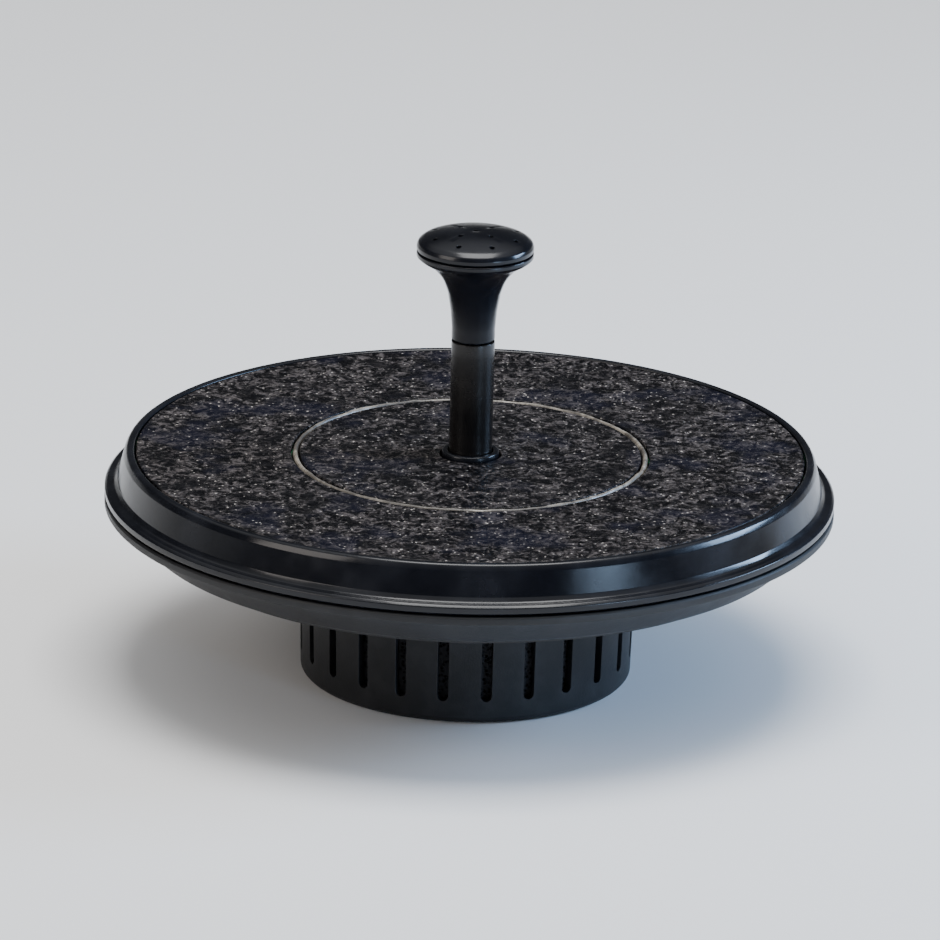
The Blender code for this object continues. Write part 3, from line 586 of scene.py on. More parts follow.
# ================================================================ float shells
upper = lathe(
    "upper_shell_moulding",
    [
        (9.2, 44.2), (72.4, 44.2), (73.8, 42.8), (73.8, 40.0),
        (79.4, 40.0), (80.0, 40.5), (80.0, 41.7), (79.4, 42.2, 0.5),
        (78.0, 42.25, 0.9), (77.2, 43.3), (75.9, 48.6, 1.2), (75.2, 50.0, 0.9),
        (73.9, 50.0, 0.3), (73.6, 49.7), (73.6, 46.2), (9.2, 46.2),
    ],
    GLOSS, 320, 0.3, 4,
)
bosses = bmesh.new()
pilots = bmesh.new()
for x, y in SHELL_SCREWS:
    add_copies(bosses, rod_bm(3.1, 34.6, 45.0, 24), [Matrix.Translation((x * MM, y * MM, 0))])
    add_copies(pilots, rod_bm(1.75, 33.0, 43.4, 20), [Matrix.Translation((x * MM, y * MM, 0))])
combine(upper, cutter(bosses), "UNION")
combine(upper, cutter(pilots))
add(tidy(upper, GLOSS, sharp=35), "float", "black_plastic", "upper_shell")

def bead_at(r, low=29.3, half=0.5):
    """Points of a low bead under the float's flat underside, walked inwards."""
    return [(r + half, 30.0, 0.12), (r + half, low, 0.2), (r - half, low, 0.2), (r - half, 30.0, 0.12)]


lower = lathe(
    "lower_shell_moulding",
    [
        (73.0, 39.7), (74.2, 39.7), (74.2, 38.2), (76.6, 38.2), (76.6, 39.7),
        (79.6, 39.7), (80.0, 39.3), (80.0, 38.0), (79.5, 37.55), (77.9, 37.3, 1.0),
        (74.9, 34.6, 4.0), (71.2, 31.4, 4.0), (67.9, 30.0, 2.0),
        *bead_at(66.4), *bead_at(54.2), *bead_at(41.6),
        (34.8, 30.0), (34.8, 24.9), (34.4, 24.5), (33.2, 24.5), (32.8, 24.9),
        (32.8, 30.0), (7.9, 30.0), (7.9, 32.0), (66.6, 32.0), (70.4, 34.0), (73.0, 36.6),
    ],
    MATT, 300, 0.25, 3,
)
ribs = bmesh.new()
add_copies(
    ribs, box_bm((41.7, -0.5, 29.42), (66.3, 0.5, 30.6)),
    [about_z(TAU * k / 24) for k in range(24) if k % 4 != 2],
)
combine(lower, cutter(ribs), "UNION")
pads, holes, thin = bmesh.new(), bmesh.new(), bmesh.new()
for x, y in SHELL_SCREWS:
    at = [Matrix.Translation((x * MM, y * MM, 0))]
    add_copies(pads, rod_bm(4.6, 29.15, 34.2, 36), at)
    add_copies(holes, rod_bm(3.2, 27.0, 32.3, 36), at)
    add_copies(thin, rod_bm(1.8, 31.0, 36.0, 20), at)
for x, y in PUMP_SCREWS:
    at = [Matrix.Translation((x * MM, y * MM, 0))]
    add_copies(pads, rod_bm(3.2, 31.0, 39.0, 24), at)
    add_copies(holes, rod_bm(1.6, 27.0, 37.4, 24), at)
for x in (-10.0, 6.0):
    add_copies(pads, rod_bm(1.6, 31.0, 32.8, 20), [Matrix.Translation((x * MM, 20.5 * MM, 0))])
combine(lower, cutter(pads), "UNION")
add_copies(holes, rod_bm(2.6, 27.0, 34.0, 28), [Matrix.Translation((-27.5 * MM, PUMP_Y * MM, 0))])
combine(lower, cutter(holes))
combine(lower, cutter(thin))
add(tidy(lower, MATT, sharp=35), "float", "black_matt_plastic", "lower_shell")


def screw_bm(head_r, head_low, head_high, shank_r, tip):
    """A pan-head screw, head down, with a domed head and a threaded shank."""
    outline = [(0.0, head_low), (head_r * 0.55, head_low + 0.06),
               (head_r * 0.86, head_low + 0.3), (head_r, head_low + 0.62),
               (head_r, head_high), (shank_r, head_high)]
    z = head_high + 0.2
    while z < tip - 1.0:
        outline += [(shank_r, z), (shank_r - 0.22, z + 0.35)]
        z += 0.7
    outline += [(shank_r * 0.5, tip - 0.3), (0.0, tip)]
    return lathe_bm(outline, 32)


def screw(name, x, y, head_r, head_low, head_high, shank_r, tip, body, node):
    bm = screw_bm(head_r, head_low, head_high, shank_r, tip)
    obj = finish(name, bm, STEEL, 35, Matrix.Translation((x * MM, y * MM, 0)))
    arm = head_r * 0.5
    for turn in (0, math.pi / 2):
        made = box_bm((-arm, -0.3, head_low - 1.0), (arm, 0.3, head_low + 0.75))
        helper = cutter(made, Matrix.Translation((x * MM, y * MM, 0)) @ about_z(turn + 0.5 * x))
        combine(obj, helper)
    return add(tidy(obj, STEEL, sharp=35), body, "stainless_steel", node)


for k, (x, y) in enumerate(SHELL_SCREWS):
    screw(f"shell_screw_fine_{k + 1}", x, y, 2.75, 30.5, 31.4, 1.3, 42.4, "float", f"shell_screw_{k + 1}")
for k, (x, y) in enumerate(PUMP_SCREWS):
    screw(f"pump_screw_fine_{k + 1}", x, y, 2.65, 24.3, 25.7, 1.25, 36.6, "float", f"pump_screw_{k + 1}")


# ===================================================== deck: panel and hub skin
def pebble(x, y):
    """Height of the granular skin, in millimetres, about zero."""
    p = Vector((x, y, 0.0))
    grain = noise.fractal(p / 1.9, 0.8, 2.1, 2)
    ridge = 1.0 - abs(noise.noise(p / 1.6 + Vector((31.7, 4.2, 9.0)))) * 2.2
    swell = noise.noise(p / 7.0 + Vector((7.0, 3.0, 1.0)))
    return 0.105 * grain + 0.06 * ridge + 0.04 * swell


def skin(name, inner, outer, low, high, look, segments, pitch, body_slot, node):
    """A flat ring whose top is pebbled in its mesh, and fades out at both edges."""
    count = math.ceil((outer - inner - 1.6) / pitch)
    top = [(inner + 0.8 + (outer - inner - 1.6) * k / count, high) for k in range(count + 1)]
    edge = 0.35
    outline = (
        [(inner, low), (inner, high - edge)]
        + [(inner + edge * (1 - math.cos(a)), high - edge * (1 - math.sin(a)))
           for a in (0.5, 1.0, 1.4)]
        + top
        + [(outer - edge * (1 - math.cos(a)), high - edge * (1 - math.sin(a)))
           for a in (1.4, 1.0, 0.5)]
        + [(outer, high - edge), (outer, low)]
    )
    bm = lathe_bm(outline, segments)
    for v in bm.verts:
        if v.co.z > (high - 0.02) * MM:
            x, y = v.co.x / MM, v.co.y / MM
            r = math.hypot(x, y)
            fade = min(1.0, (r - inner - 0.3) / 1.2, (outer - 0.3 - r) / 1.2)
            v.co.z += (pebble(x, y) - 0.12) * max(0.0, fade) * MM
    return add(finish(name, bm, look, 60), "float", body_slot, node)


skin("panel_cover_skin", 39.3, 73.2, 48.5, 49.85, DECK, 720, 0.46, "panel_cover", "panel_cover")
skin("hub_plate_skin", 6.7, 37.4, 46.5, 49.85, HUB, 400, 0.46, "black_plastic", "hub_plate")

# The pale bead is a little uneven in its height and its width, as laid silicone is.
bead = lathe(
    "hub_ring_bead",
    [(37.8, 46.6), (38.9, 46.6), (38.9, 49.45), (38.62, 50.0, 0.45), (38.08, 50.0, 0.45), (37.8, 49.45)],
    BEAD, 420, 0.3, 4,
)
for v in bead.data.vertices:
    if v.co.z > 49.0 * MM:
        p = Vector(v.co) / MM
        wave = noise.noise(p / 5.5) * 0.22 + noise.noise(p / 1.7) * 0.10
        v.co.z += (wave - 0.13) * MM
        r = math.hypot(p.x, p.y)
        grow = 1.0 + noise.noise(p / 3.0 + Vector((9, 9, 9))) * 0.07 / r
        v.co.x *= grow
        v.co.y *= grow
add(bead, "float", "pale_silicone", "hub_ring")

pipe = lathe(
    "discharge_pipe_moulding",
    [
        (5.05, 50.85, 0.25), (6.25, 50.85, 0.45), (6.3, 49.9), (6.3, 46.1), (7.2, 46.1), (7.2, 34.4, 0.6),
        (11.0, 34.4), (11.0, 32.4), (7.4, 32.4), (7.4, 31.7), (5.4, 31.7),
        (5.4, 35.2), (3.6, 35.2), (3.6, 38.0), (5.05, 38.0),
    ],
    GLOSS, 96, 0.2, 4,
)
add(pipe, "float", "black_plastic", "discharge_pipe")

# ============================================================ riser and nozzle
riser = lathe(
    "riser_tube_moulding",
    [
        (3.25, 38.4), (4.35, 38.4), (4.75, 38.9), (4.75, 40.2), (3.95, 40.2),
        (3.95, 41.7), (4.75, 41.7), (4.75, 75.85), (4.6, 76.0), (3.25, 76.0),
    ],
    TUBE, 96, 0.15, 3, pitch=3.0,
)
add(riser, "riser", "black_plastic", "riser_tube")

spray_body = lathe(
    "nozzle_body_moulding",
    [
        (2.0, 66.0), (2.7, 66.0), (2.95, 66.4), (2.95, 76.3), (4.6, 76.3),
        (4.75, 76.5), (4.75, 79.0, 6.0), (5.1, 83.0, 12.0), (5.8, 87.0, 12.0),
        (7.0, 90.4, 9.0), (9.4, 93.0, 9.0), (12.1, 94.6, 3.0), (12.8, 95.3, 0.3),
        (12.8, 96.3, 0.3), (11.2, 96.3), (11.2, 95.9), (8.6, 94.4, 3.0),
        (6.2, 92.6, 3.0), (4.4, 89.6, 3.0), (3.2, 84.0), (2.0, 80.0),
    ],
    GLOSS, 128, 0.2, 6,
)
add(spray_body, "nozzle", "black_plastic", "nozzle_body")

cap = lathe(
    "nozzle_cap_moulding",
    [
        (0.0, 100.95, 0), (2.4, 100.9, 3.0), (4.5, 100.75, 6.0), (8.6, 100.15, 8.0),
        (11.4, 99.25, 4.0), (12.5, 98.4, 1.0), (12.8, 97.6, 0.6), (12.8, 96.6, 0.3), (11.3, 96.6),
        (11.3, 98.0), (8.2, 98.9), (4.5, 99.5), (0.0, 99.7, 0),
    ],
    GLOSS, 128, 0.2, 5,
)
jets = bmesh.new()
for count, radius, lean in ((1, 0.0, 0.0), (4, 4.6, 3.0), (8, 9.4, 6.0)):
    for k in range(count):
        around = TAU * (k + 0.5) / count if count > 1 else 0.0
        place = (
            about_z(around) @ Matrix.Translation((radius * MM, 0, 99.4 * MM))
            @ Matrix.Rotation(math.radians(lean), 4, "Y")
        )
        add_copies(jets, rod_bm(0.6, -4.0, 4.0, 20), [place])
combine(cap, cutter(jets))
add(tidy(cap, GLOSS, 0.12, 2, 50.0, 40), "nozzle", "black_plastic", "nozzle_cap")

# ================================================================== the basket
basket = lathe(
    "strainer_basket_moulding",
    [
        (0.0, 0.0, 0), (35.4, 0.0, 1.2), (36.3, 1.0, 1.2), (36.9, 22.6), (37.6, 23.3),
        (37.6, 29.6, 0.4), (35.3, 29.6), (35.2, 23.0), (34.5, 2.0), (0.0, 2.0, 0),
    ],
    MATT, 240, 0.25, 4,
)
wall = bmesh.new()
side = Matrix.Rotation(math.pi / 2, 4, "Y")
for k in range(24):
    # A slot's length runs along Z once the prism has been laid on its side.
    place = about_z(TAU * (k + 0.5) / 24) @ Matrix.Translation((36.0 * MM, 0, 13.0 * MM)) @ side
    add_copies(wall, slot_bm(2.4, 16.0, -3.5, 4.0), [place])
combine(basket, cutter(wall))
floor_cuts = bmesh.new()
for k in range(8):
    place = about_z(TAU * (k + 0.5) / 8) @ Matrix.Translation((21.0 * MM, 0, 0))
    add_copies(floor_cuts, slot_bm(2.6, 16.0, -2.0, 4.0), [place])
combine(basket, cutter(floor_cuts))
add(tidy(basket, MATT, 0.12, 1, 55.0, 40), "strainer", "black_matt_plastic", "strainer_basket")

pad_outline = dense([(30.5, 2.4), (34.1, 2.4), (34.4, 12.0), (34.4, 24.0), (30.5, 24.0)], 0.9)
pad = finish("filter_sponge_open_cell", lathe_bm(pad_outline, 260), SPONGE, 60)
for v in pad.data.vertices:
    p = Vector(v.co) / MM
    pull = abs(noise.noise(p / 1.3)) * 0.45 + abs(noise.noise(p / 3.5)) * 0.25
    r = math.hypot(p.x, p.y)
    inward = 1.0 if r < 32.3 else -1.0
    scale = 1.0 + inward * pull / r
    v.co.x *= scale
    v.co.y *= scale
    v.co.z += (pull * 0.4 if p.z < 13 else -pull * 0.4) * MM
add(pad, "strainer", "filter_sponge", "filter_sponge")

# ==================================================================== the pump
def soft_box(low, high, round_by, steps=2):
    """A box whose edges are rounded before it joins anything."""
    bm = box_bm(low, high)
    bmesh.ops.bevel(
        bm, geom=bm.edges[:], offset=round_by * MM, segments=steps, affect="EDGES", profile=0.5
    )
    return bm


HOOKS = (90.0, 270.0)
casing = lathe(
    "pump_casing_moulding",
    [(0.0, -22.2, 0), (12.6, -22.2, 0.8), (12.6, 7.0, 0.35), (0.0, 7.0, 0)],
    MATT, 112, 0.3, 4, matrix=TO_PUMP,
)
combine(casing, cutter(soft_box((-20.0, -23.5, 26.0), (6.8, 12.0, 29.5), 0.5)), "UNION")
for x, y in PUMP_SCREWS:
    made = lathe_bm(rounded([(0.0, 26.55, 0), (3.7, 26.55), (3.7, 29.44), (0.0, 29.44, 0)], 0.4), 48, (x, y))
    combine(casing, cutter(made), "UNION")
combine(casing, cutter(lathe_bm(rounded([(0.0, 22.0, 0), (4.95, 22.0, 0), (4.95, 34.9), (0.0, 34.9, 0)], 0.4), 72)), "UNION")
# Cooling ribs round the motor, and a bead where the volute starts.
for x, high in ((-18.6, 13.15), (-15.4, 13.15), (-12.2, 13.15), (-9.0, 13.15), (-4.6, 13.0)):
    made = lathe_bm(rounded([(11.9, x - 0.55, 0), (high, x - 0.45), (high, x + 0.45), (11.9, x + 0.55, 0)], 0.25, 3), 112)
    combine(casing, cutter(made, TO_PUMP), "UNION")
for angle in HOOKS:
    for low, high in (
        ((12.0, -2.0, 3.0), (13.9, 2.0, 6.8)),
        ((12.95, -1.96, 6.0), (13.86, 1.96, 10.4)),
        ((11.6, -1.92, 9.42), (13.82, 1.92, 10.36)),
    ):
        combine(casing, cutter(soft_box(low, high, 0.15, 1), TO_PUMP @ about_z(math.radians(angle))), "UNION")
for bm, matrix in (
    (rod_bm(9.5, -4.0, 9.0, 72), TO_PUMP),
    (rod_bm(11.0, 4.4, 9.2, 72), TO_PUMP),
    (rod_bm(5.5, -18.2, -3.0, 48), TO_PUMP),
    (lathe_bm([(6.5, -5.3), (11.4, -5.3), (11.4, -24.0), (0.6, -24.0), (0.6, -19.2), (6.5, -19.2)], 64), TO_PUMP),
    (rod_bm(0.9, -24.2, -19.3, 20), TO_PUMP),
    (rod_bm(3.5, 15.0, 36.0, 48), None),
):
    combine(casing, cutter(bm, matrix))
for x, y in PUMP_SCREWS:
    combine(casing, cutter(rod_bm(3.0, 14.0, 26.0, 36, (x, y))))
    combine(casing, cutter(rod_bm(1.7, 25.0, 31.0, 24, (x, y))))
add(tidy(casing, MATT, sharp=38), "float", "black_matt_plastic", "pump_casing")

cover = lathe(
    "pump_cover_moulding",
    [
        (5.0, 4.8), (10.6, 4.8), (10.6, 5.2), (9.2, 5.2), (9.2, 6.7), (10.6, 6.7),
        (10.6, 7.4), (12.6, 7.4), (12.6, 8.7), (12.3, 9.0), (6.6, 9.0, 0.6), (6.4, 11.3),
        (6.1, 11.6), (5.0, 11.6),
    ],
    MATT, 96, 0.2, 3, matrix=TO_PUMP,
)
for k in range(3):
    combine(cover, cutter(box_bm((2.4, -0.6, 7.6), (5.6, 0.6, 9.4)), TO_PUMP @ about_z(TAU * k / 3)), "UNION")
combine(cover, cutter(rod_bm(3.0, 5.4, 10.6, 48), TO_PUMP), "UNION")
for angle in HOOKS:
    grip = soft_box((11.8, -2.0, 7.45), (13.6, 2.0, 9.6), 0.3)
    combine(cover, cutter(grip, TO_PUMP @ about_z(math.radians(angle + 30))), "UNION")
    notch = box_bm((11.3, -2.6, 7.0), (15.0, 2.6, 10.0))
    combine(cover, cutter(notch, TO_PUMP @ about_z(math.radians(angle - 30))))
combine(cover, cutter(rod_bm(2.1, 4.0, 9.8, 40), TO_PUMP))
add(tidy(cover, MATT, sharp=38), "pump_cover", "black_plastic", "pump_cover")


# ============================================================== inner parts
def seal(name, major, minor, height, look, segments, body, node, matrix=None):
    """An O-ring with a round section and a fine parting line."""
    section = [
        (major + minor * math.cos(TAU * k / 16) * (1.0 if k % 8 else 1.012),
         height + minor * math.sin(TAU * k / 16))
        for k in range(16)
    ]
    piece = finish(name, lathe_bm(section, segments), look, 60, matrix)
    return add(piece, body, "black_rubber", node)


seal("shell_gasket_cord", 75.4, 0.68, 39.15, RUBBER, 300, "float", "shell_gasket")
seal("hub_seal_ring", 8.2, 0.78, 45.2, RUBBER, 96, "float", "hub_seal")
seal("outlet_seal_ring", 6.3, 0.72, 30.6, RUBBER, 96, "float", "outlet_seal")
seal("riser_seal_ring", 4.46, 0.42, 40.95, RUBBER, 80, "riser", "riser_seal")
seal("cover_seal_ring", 10.1, 0.63, 5.95, RUBBER, 112, "pump_cover", "cover_seal", TO_PUMP)

foam = lathe(
    "float_foam_ring", [(33.1, 32.6), (56.6, 32.6), (56.6, 41.2), (33.1, 41.2)],
    FOAM, 200, 0.8, 3, pitch=2.0,
)
for v in foam.data.vertices:
    p = Vector(v.co) / MM
    v.co += Vector((0, 0, -1 if p.z > 37 else 1)) * (0.12 + 0.12 * noise.noise(p / 2.5)) * MM
add(foam, "float", "white_foam", "float_foam")
add(lathe(
    "panel_board_ring", [(39.35, 46.52), (73.15, 46.52), (73.15, 47.58), (39.35, 47.58)],
    BOARD, 240, 0.12, 2,
), "float", "circuit_board", "panel_board")


def sector_bm(inner, outer, start, end, low, high, steps=20, corner=1.2):
    """A flat ring sector with rounded corners."""
    turns = [start + (end - start) * k / steps for k in range(steps + 1)]
    outline = [(outer * math.cos(a), outer * math.sin(a)) for a in turns]
    outline += [(inner * math.cos(a), inner * math.sin(a)) for a in reversed(turns)]
    shape = [
        p for p in rounded([(x, y, corner if i in (0, steps, steps + 1, 2 * steps + 1) else 0)
                            for i, (x, y) in enumerate(outline)], corner, 4)
    ]
    bm = bmesh.new()
    face = bm.faces.new([bm.verts.new((x * MM, y * MM, low * MM)) for x, y in shape])
    made = bmesh.ops.extrude_face_region(bm, geom=[face])["geom"]
    bmesh.ops.translate(
        bm, verts=[g for g in made if isinstance(g, bmesh.types.BMVert)],
        vec=(0, 0, (high - low) * MM),
    )
    return bm


for k in range(8):
    middle, half = TAU * (k + 0.5) / 8, TAU / 16 - 0.018
    cell = sector_bm(41.5, 71.6, middle - half, middle + half, 47.85, 48.18)
    # Two bus bars and a row of fine fingers stand a little proud of the silicon.
    for r in (49.0, 63.0):
        made = sector_bm(r - 0.5, r + 0.5, middle - half + 0.012, middle + half - 0.012, 48.17, 48.24, 16, 0.1)
        add_copies(cell, made, [Matrix.Identity(4)])
    for j in range(24):
        r = 42.6 + j * 1.21
        if min(abs(r - 49.0), abs(r - 63.0)) > 0.6:
            made = sector_bm(r - 0.05, r + 0.05, middle - half + 0.012, middle + half - 0.012, 48.17, 48.21, 10, 0.01)
            add_copies(cell, made, [Matrix.Identity(4)])
    add(finish(f"solar_cell_{k + 1}", cell, CELL, 30), "float", "solar_cell", f"panel_cell_{k + 1}")

shaft = lathe(
    "rotor_shaft_ground", [(0.0, -17.0, 0), (1.0, -17.0, 0.15), (1.0, 9.2, 0.15), (0.0, 9.2, 0)],
    CERAMIC, 48, 0.15, 3, matrix=TO_PUMP,
)
add(shaft, "float", "ceramic_shaft", "rotor_shaft")
add(lathe(
    "shaft_bush_rear_moulding",
    [(0.0, -17.3, 0), (1.1, -17.3), (1.1, -15.6), (4.9, -15.6), (5.1, -15.9), (5.1, -17.9), (0.0, -17.9, 0)],
    RUBBER, 64, 0.15, 3, matrix=TO_PUMP,
), "float", "black_rubber", "shaft_bush_rear")
add(lathe(
    "shaft_bush_front_moulding",
    [(1.1, 5.6), (1.85, 5.6), (1.85, 9.6), (0.0, 9.6, 0), (0.0, 9.4, 0), (1.1, 9.4)],
    RUBBER, 48, 0.08, 2, matrix=TO_PUMP,
), "pump_cover", "black_rubber", "shaft_bush_front")
add(lathe(
    "rotor_magnet_ring",
    [(1.08, -4.9), (4.7, -4.9), (5.0, -5.2), (5.0, -14.7), (4.7, -15.0), (1.08, -15.0)],
    FERRITE, 72, 0.12, 2, matrix=TO_PUMP,
), "rotor", "ferrite_magnet", "rotor_magnet")

wheel = lathe(
    "impeller_moulding",
    [
        (1.08, 3.0), (2.2, 3.0), (2.5, 2.6, 0.3), (2.5, -2.0, 0.6), (7.9, -2.0),
        (7.9, -3.1), (3.4, -3.1, 0.4), (3.4, -4.6), (1.08, -4.6),
    ],
    WHITE, 80, 0.2, 3, matrix=TO_PUMP,
)
for k in range(5):
    near, far = [], []
    for j in range(15):
        t = j / 14
        r = 2.1 + (7.75 - 2.1) * t
        a = -math.radians(48) * t ** 1.4
        half = (0.5 - 0.16 * t) / r
        near.append((r * math.cos(a - half), r * math.sin(a - half)))
        far.append((r * math.cos(a + half), r * math.sin(a + half)))
    bm = bmesh.new()
    face = bm.faces.new([bm.verts.new((x * MM, y * MM, -2.4 * MM)) for x, y in near + far[::-1]])
    made = bmesh.ops.extrude_face_region(bm, geom=[face])["geom"]
    bmesh.ops.translate(bm, verts=[g for g in made if isinstance(g, bmesh.types.BMVert)], vec=(0, 0, 5.36 * MM))
    combine(wheel, cutter(bm, TO_PUMP @ about_z(TAU * k / 5)), "UNION")
add(tidy(wheel, WHITE, sharp=38), "rotor", "white_plastic", "impeller")

add(lathe(
    "cable_grommet_moulding",
    [
        (1.6, 29.0, 0.3), (3.7, 29.0), (3.9, 29.3), (3.9, 29.7), (2.3, 29.7), (2.3, 32.3),
        (3.9, 32.3), (3.9, 32.8), (3.5, 33.1), (1.6, 33.1, 0.3),
    ],
    RUBBER, 56, 0.15, 2, shift=(-27.5, PUMP_Y),
), "float", "black_rubber", "cable_grommet")


def wire(name, points, radius, look, slot_name, node, sides=14):
    """A round lead along a smooth curve, with rounded ends."""
    knots = [Vector(p) for p in points]
    ext = [2 * knots[0] - knots[1], *knots, 2 * knots[-1] - knots[-2]]
    path = []
    for i in range(1, len(ext) - 2):
        a, b, c, d = ext[i - 1:i + 3]
        for k in range(6):
            t = k / 6
            path.append(0.5 * (
                2 * b + (c - a) * t + (2 * a - 5 * b + 4 * c - d) * t * t
                + (3 * b - a - 3 * c + d) * t ** 3
            ))
    path.append(knots[-1])
    bm = bmesh.new()
    normal = None
    rings = []
    for i, p in enumerate(path):
        along = (path[min(i + 1, len(path) - 1)] - path[max(i - 1, 0)]).normalized()
        if normal is None:
            normal = along.orthogonal().normalized()
        normal = (normal - along * normal.dot(along)).normalized()
        side = along.cross(normal)
        taper = 0.86 if i in (0, len(path) - 1) else 1.0
        rings.append([
            bm.verts.new((p + (normal * math.cos(TAU * k / sides) + side * math.sin(TAU * k / sides)) * radius * taper) * MM)
            for k in range(sides)
        ])
    for a, b in zip(rings, rings[1:]):
        for k in range(sides):
            bm.faces.new((a[k], a[(k + 1) % sides], b[(k + 1) % sides], b[k]))
    bm.faces.new(rings[0][::-1])
    bm.faces.new(rings[-1])
    return add(finish(name, bm, look, 50), "float", slot_name, node)


wire("panel_lead_positive_wire",
     [(3, 44, 46.2), (3, 44, 44.6), (3, 42.6, 43.1), (3.0, 38, 42.8), (2.6, 31.5, 42.6),
      (1.6, 27.0, 40.0), (0.2, 24.8, 37.0), (0.0, 24.2, 35.3)],
     0.53, RED, "red_insulation", "panel_lead_positive")
wire("panel_lead_negative_wire",
     [(-3, 44, 46.2), (-3, 44, 44.6), (-3, 42.6, 43.1), (-3.0, 38, 42.8),
      (-2.8, 31.5, 42.6), (-2.4, 27.2, 40.0), (-2.0, 25.0, 37.0), (-1.8, 24.2, 35.3)],
     0.53, RUBBER, "black_rubber", "panel_lead_negative")
wire("motor_lead_cable",
     [(-19.3, PUMP_Y, 23.6), (-21.5, PUMP_Y, 23.6), (-24.6, PUMP_Y, 24.0),
      (-26.9, PUMP_Y, 26.0), (-27.5, PUMP_Y, 29.0), (-27.5, PUMP_Y, 32.6),
      (-26.8, -4.0, 35.2), (-24.8, 2.0, 36.4), (-22.6, 8.6, 36.6), (-19.6, 14.8, 36.4),
      (-15.0, 18.8, 36.0), (-11.0, 19.6, 35.9)],
     1.17, RUBBER, "black_rubber", "motor_lead", 20)

card = soft_box((-12.95, 15.85, 33.12), (8.95, 25.15, 34.28), 0.15, 1)
for x, y, w, d, h in (
    (-11.2, 17.0, 1.6, 0.8, 0.5), (-11.2, 24.0, 1.6, 0.8, 0.5), (-8.6, 17.2, 0.8, 1.4, 0.45),
    (3.0, 17.2, 1.6, 0.8, 0.5), (3.0, 24.2, 0.8, 0.7, 0.5), (7.6, 16.9, 1.4, 0.7, 0.45),
    (7.6, 24.3, 1.4, 0.7, 0.45), (-1.0, 16.9, 2.4, 0.9, 0.6),
):
    add_copies(card, soft_box((x - w / 2, y - d / 2, 34.22), (x + w / 2, y + d / 2, 34.28 + h), 0.08, 1), [Matrix.Identity(4)])
add(finish("control_board_card", card, BOARD, 30), "float", "circuit_board", "control_board")
add(lathe(
    "capacitor_can",
    [(0.0, 41.45, 0), (2.5, 41.5, 0.1), (2.95, 41.55, 0.4), (2.95, 36.0), (2.7, 35.75, 0.2),
     (2.95, 35.5), (2.95, 34.7), (0.0, 34.7, 0)],
    CAN, 56, 0.2, 3, shift=(5.4, 20.5),
), "float", "capacitor_can", "capacitor")
drum = [(0.0, 38.2, 0), (2.58, 38.2, 0.15), (2.58, 37.45, 0.15), (2.1, 37.3, 0.05)]
drum += [(2.28 - 0.10 * (k % 2), 37.2 - 0.115 * k, 0) for k in range(14)]
drum += [(2.1, 35.55, 0.05), (2.58, 35.4, 0.15), (2.58, 34.62, 0.15), (0.0, 34.62, 0)]
add(lathe("inductor_drum", drum, COPPER, 56, 0.1, 2, shift=(-6.0, 22.0)), "float", "copper_wire", "inductor")
chip = soft_box((-2.3, 18.2, 34.75), (1.1, 22.8, 35.8), 0.12, 1)
for j in range(4):
    for sign in (-1, 1):
        x = -0.6 + sign * 1.75
        y = 18.9 + j * 1.07
        add_copies(chip, box_bm((x - 0.28, y - 0.18, 34.62), (x + 0.28, y + 0.18, 34.98)), [Matrix.Identity(4)])
add(finish("controller_chip_package", chip, RESIN, 30), "float", "potting_resin", "controller_chip")

# The stator: a laminated core, wound coils with their turns showing, a board.
COIL_HALF_Y, COIL_HALF_Z, COIL_MID = 2.42, 4.45, -11.4


def winding(name, angle, node):
    """One coil: its ridged section runs round the pole's neck."""
    corner, path = 0.7, []
    for cx, cz, start in ((1, 1, 0.0), (-1, 1, 0.5), (-1, -1, 1.0), (1, -1, 1.5)):
        for k in range(7):
            a = math.pi * (start + 0.5 * k / 6)
            path.append((
                Vector((cx * (COIL_HALF_Y - corner) + corner * math.cos(a),
                        cz * (COIL_HALF_Z - corner) + corner * math.sin(a))),
                Vector((math.cos(a), math.sin(a))),
            ))
    turns, half, low, high = 4, 0.52, 8.3, 9.3
    section = []
    for k in range(turns * 6):
        t = k / (turns * 6)
        section.append((half - 0.06 + 0.06 * math.cos(TAU * t * turns), low + (high - low) * t))
    section += [(half - 0.1, high)]
    section += [(-x, y) for x, y in reversed(section)]
    bm = bmesh.new()
    rings = [
        [bm.verts.new((radial * MM, (spot.x + out.x * off) * MM, (COIL_MID + spot.y + out.y * off) * MM))
         for off, radial in section]
        for spot, out in path
    ]
    for a, b in zip(rings, rings[1:] + rings[:1]):
        for k in range(len(section)):
            n = (k + 1) % len(section)
            bm.faces.new((a[k], a[n], b[n], b[k]))
    return add(finish(name, bm, COPPER, 50, TO_PUMP @ about_z(angle)), "float", "copper_wire", node)


for k in range(4):
    winding(f"stator_winding_{k + 1}", TAU * (k + 0.5) / 4, f"stator_coil_{k + 1}")


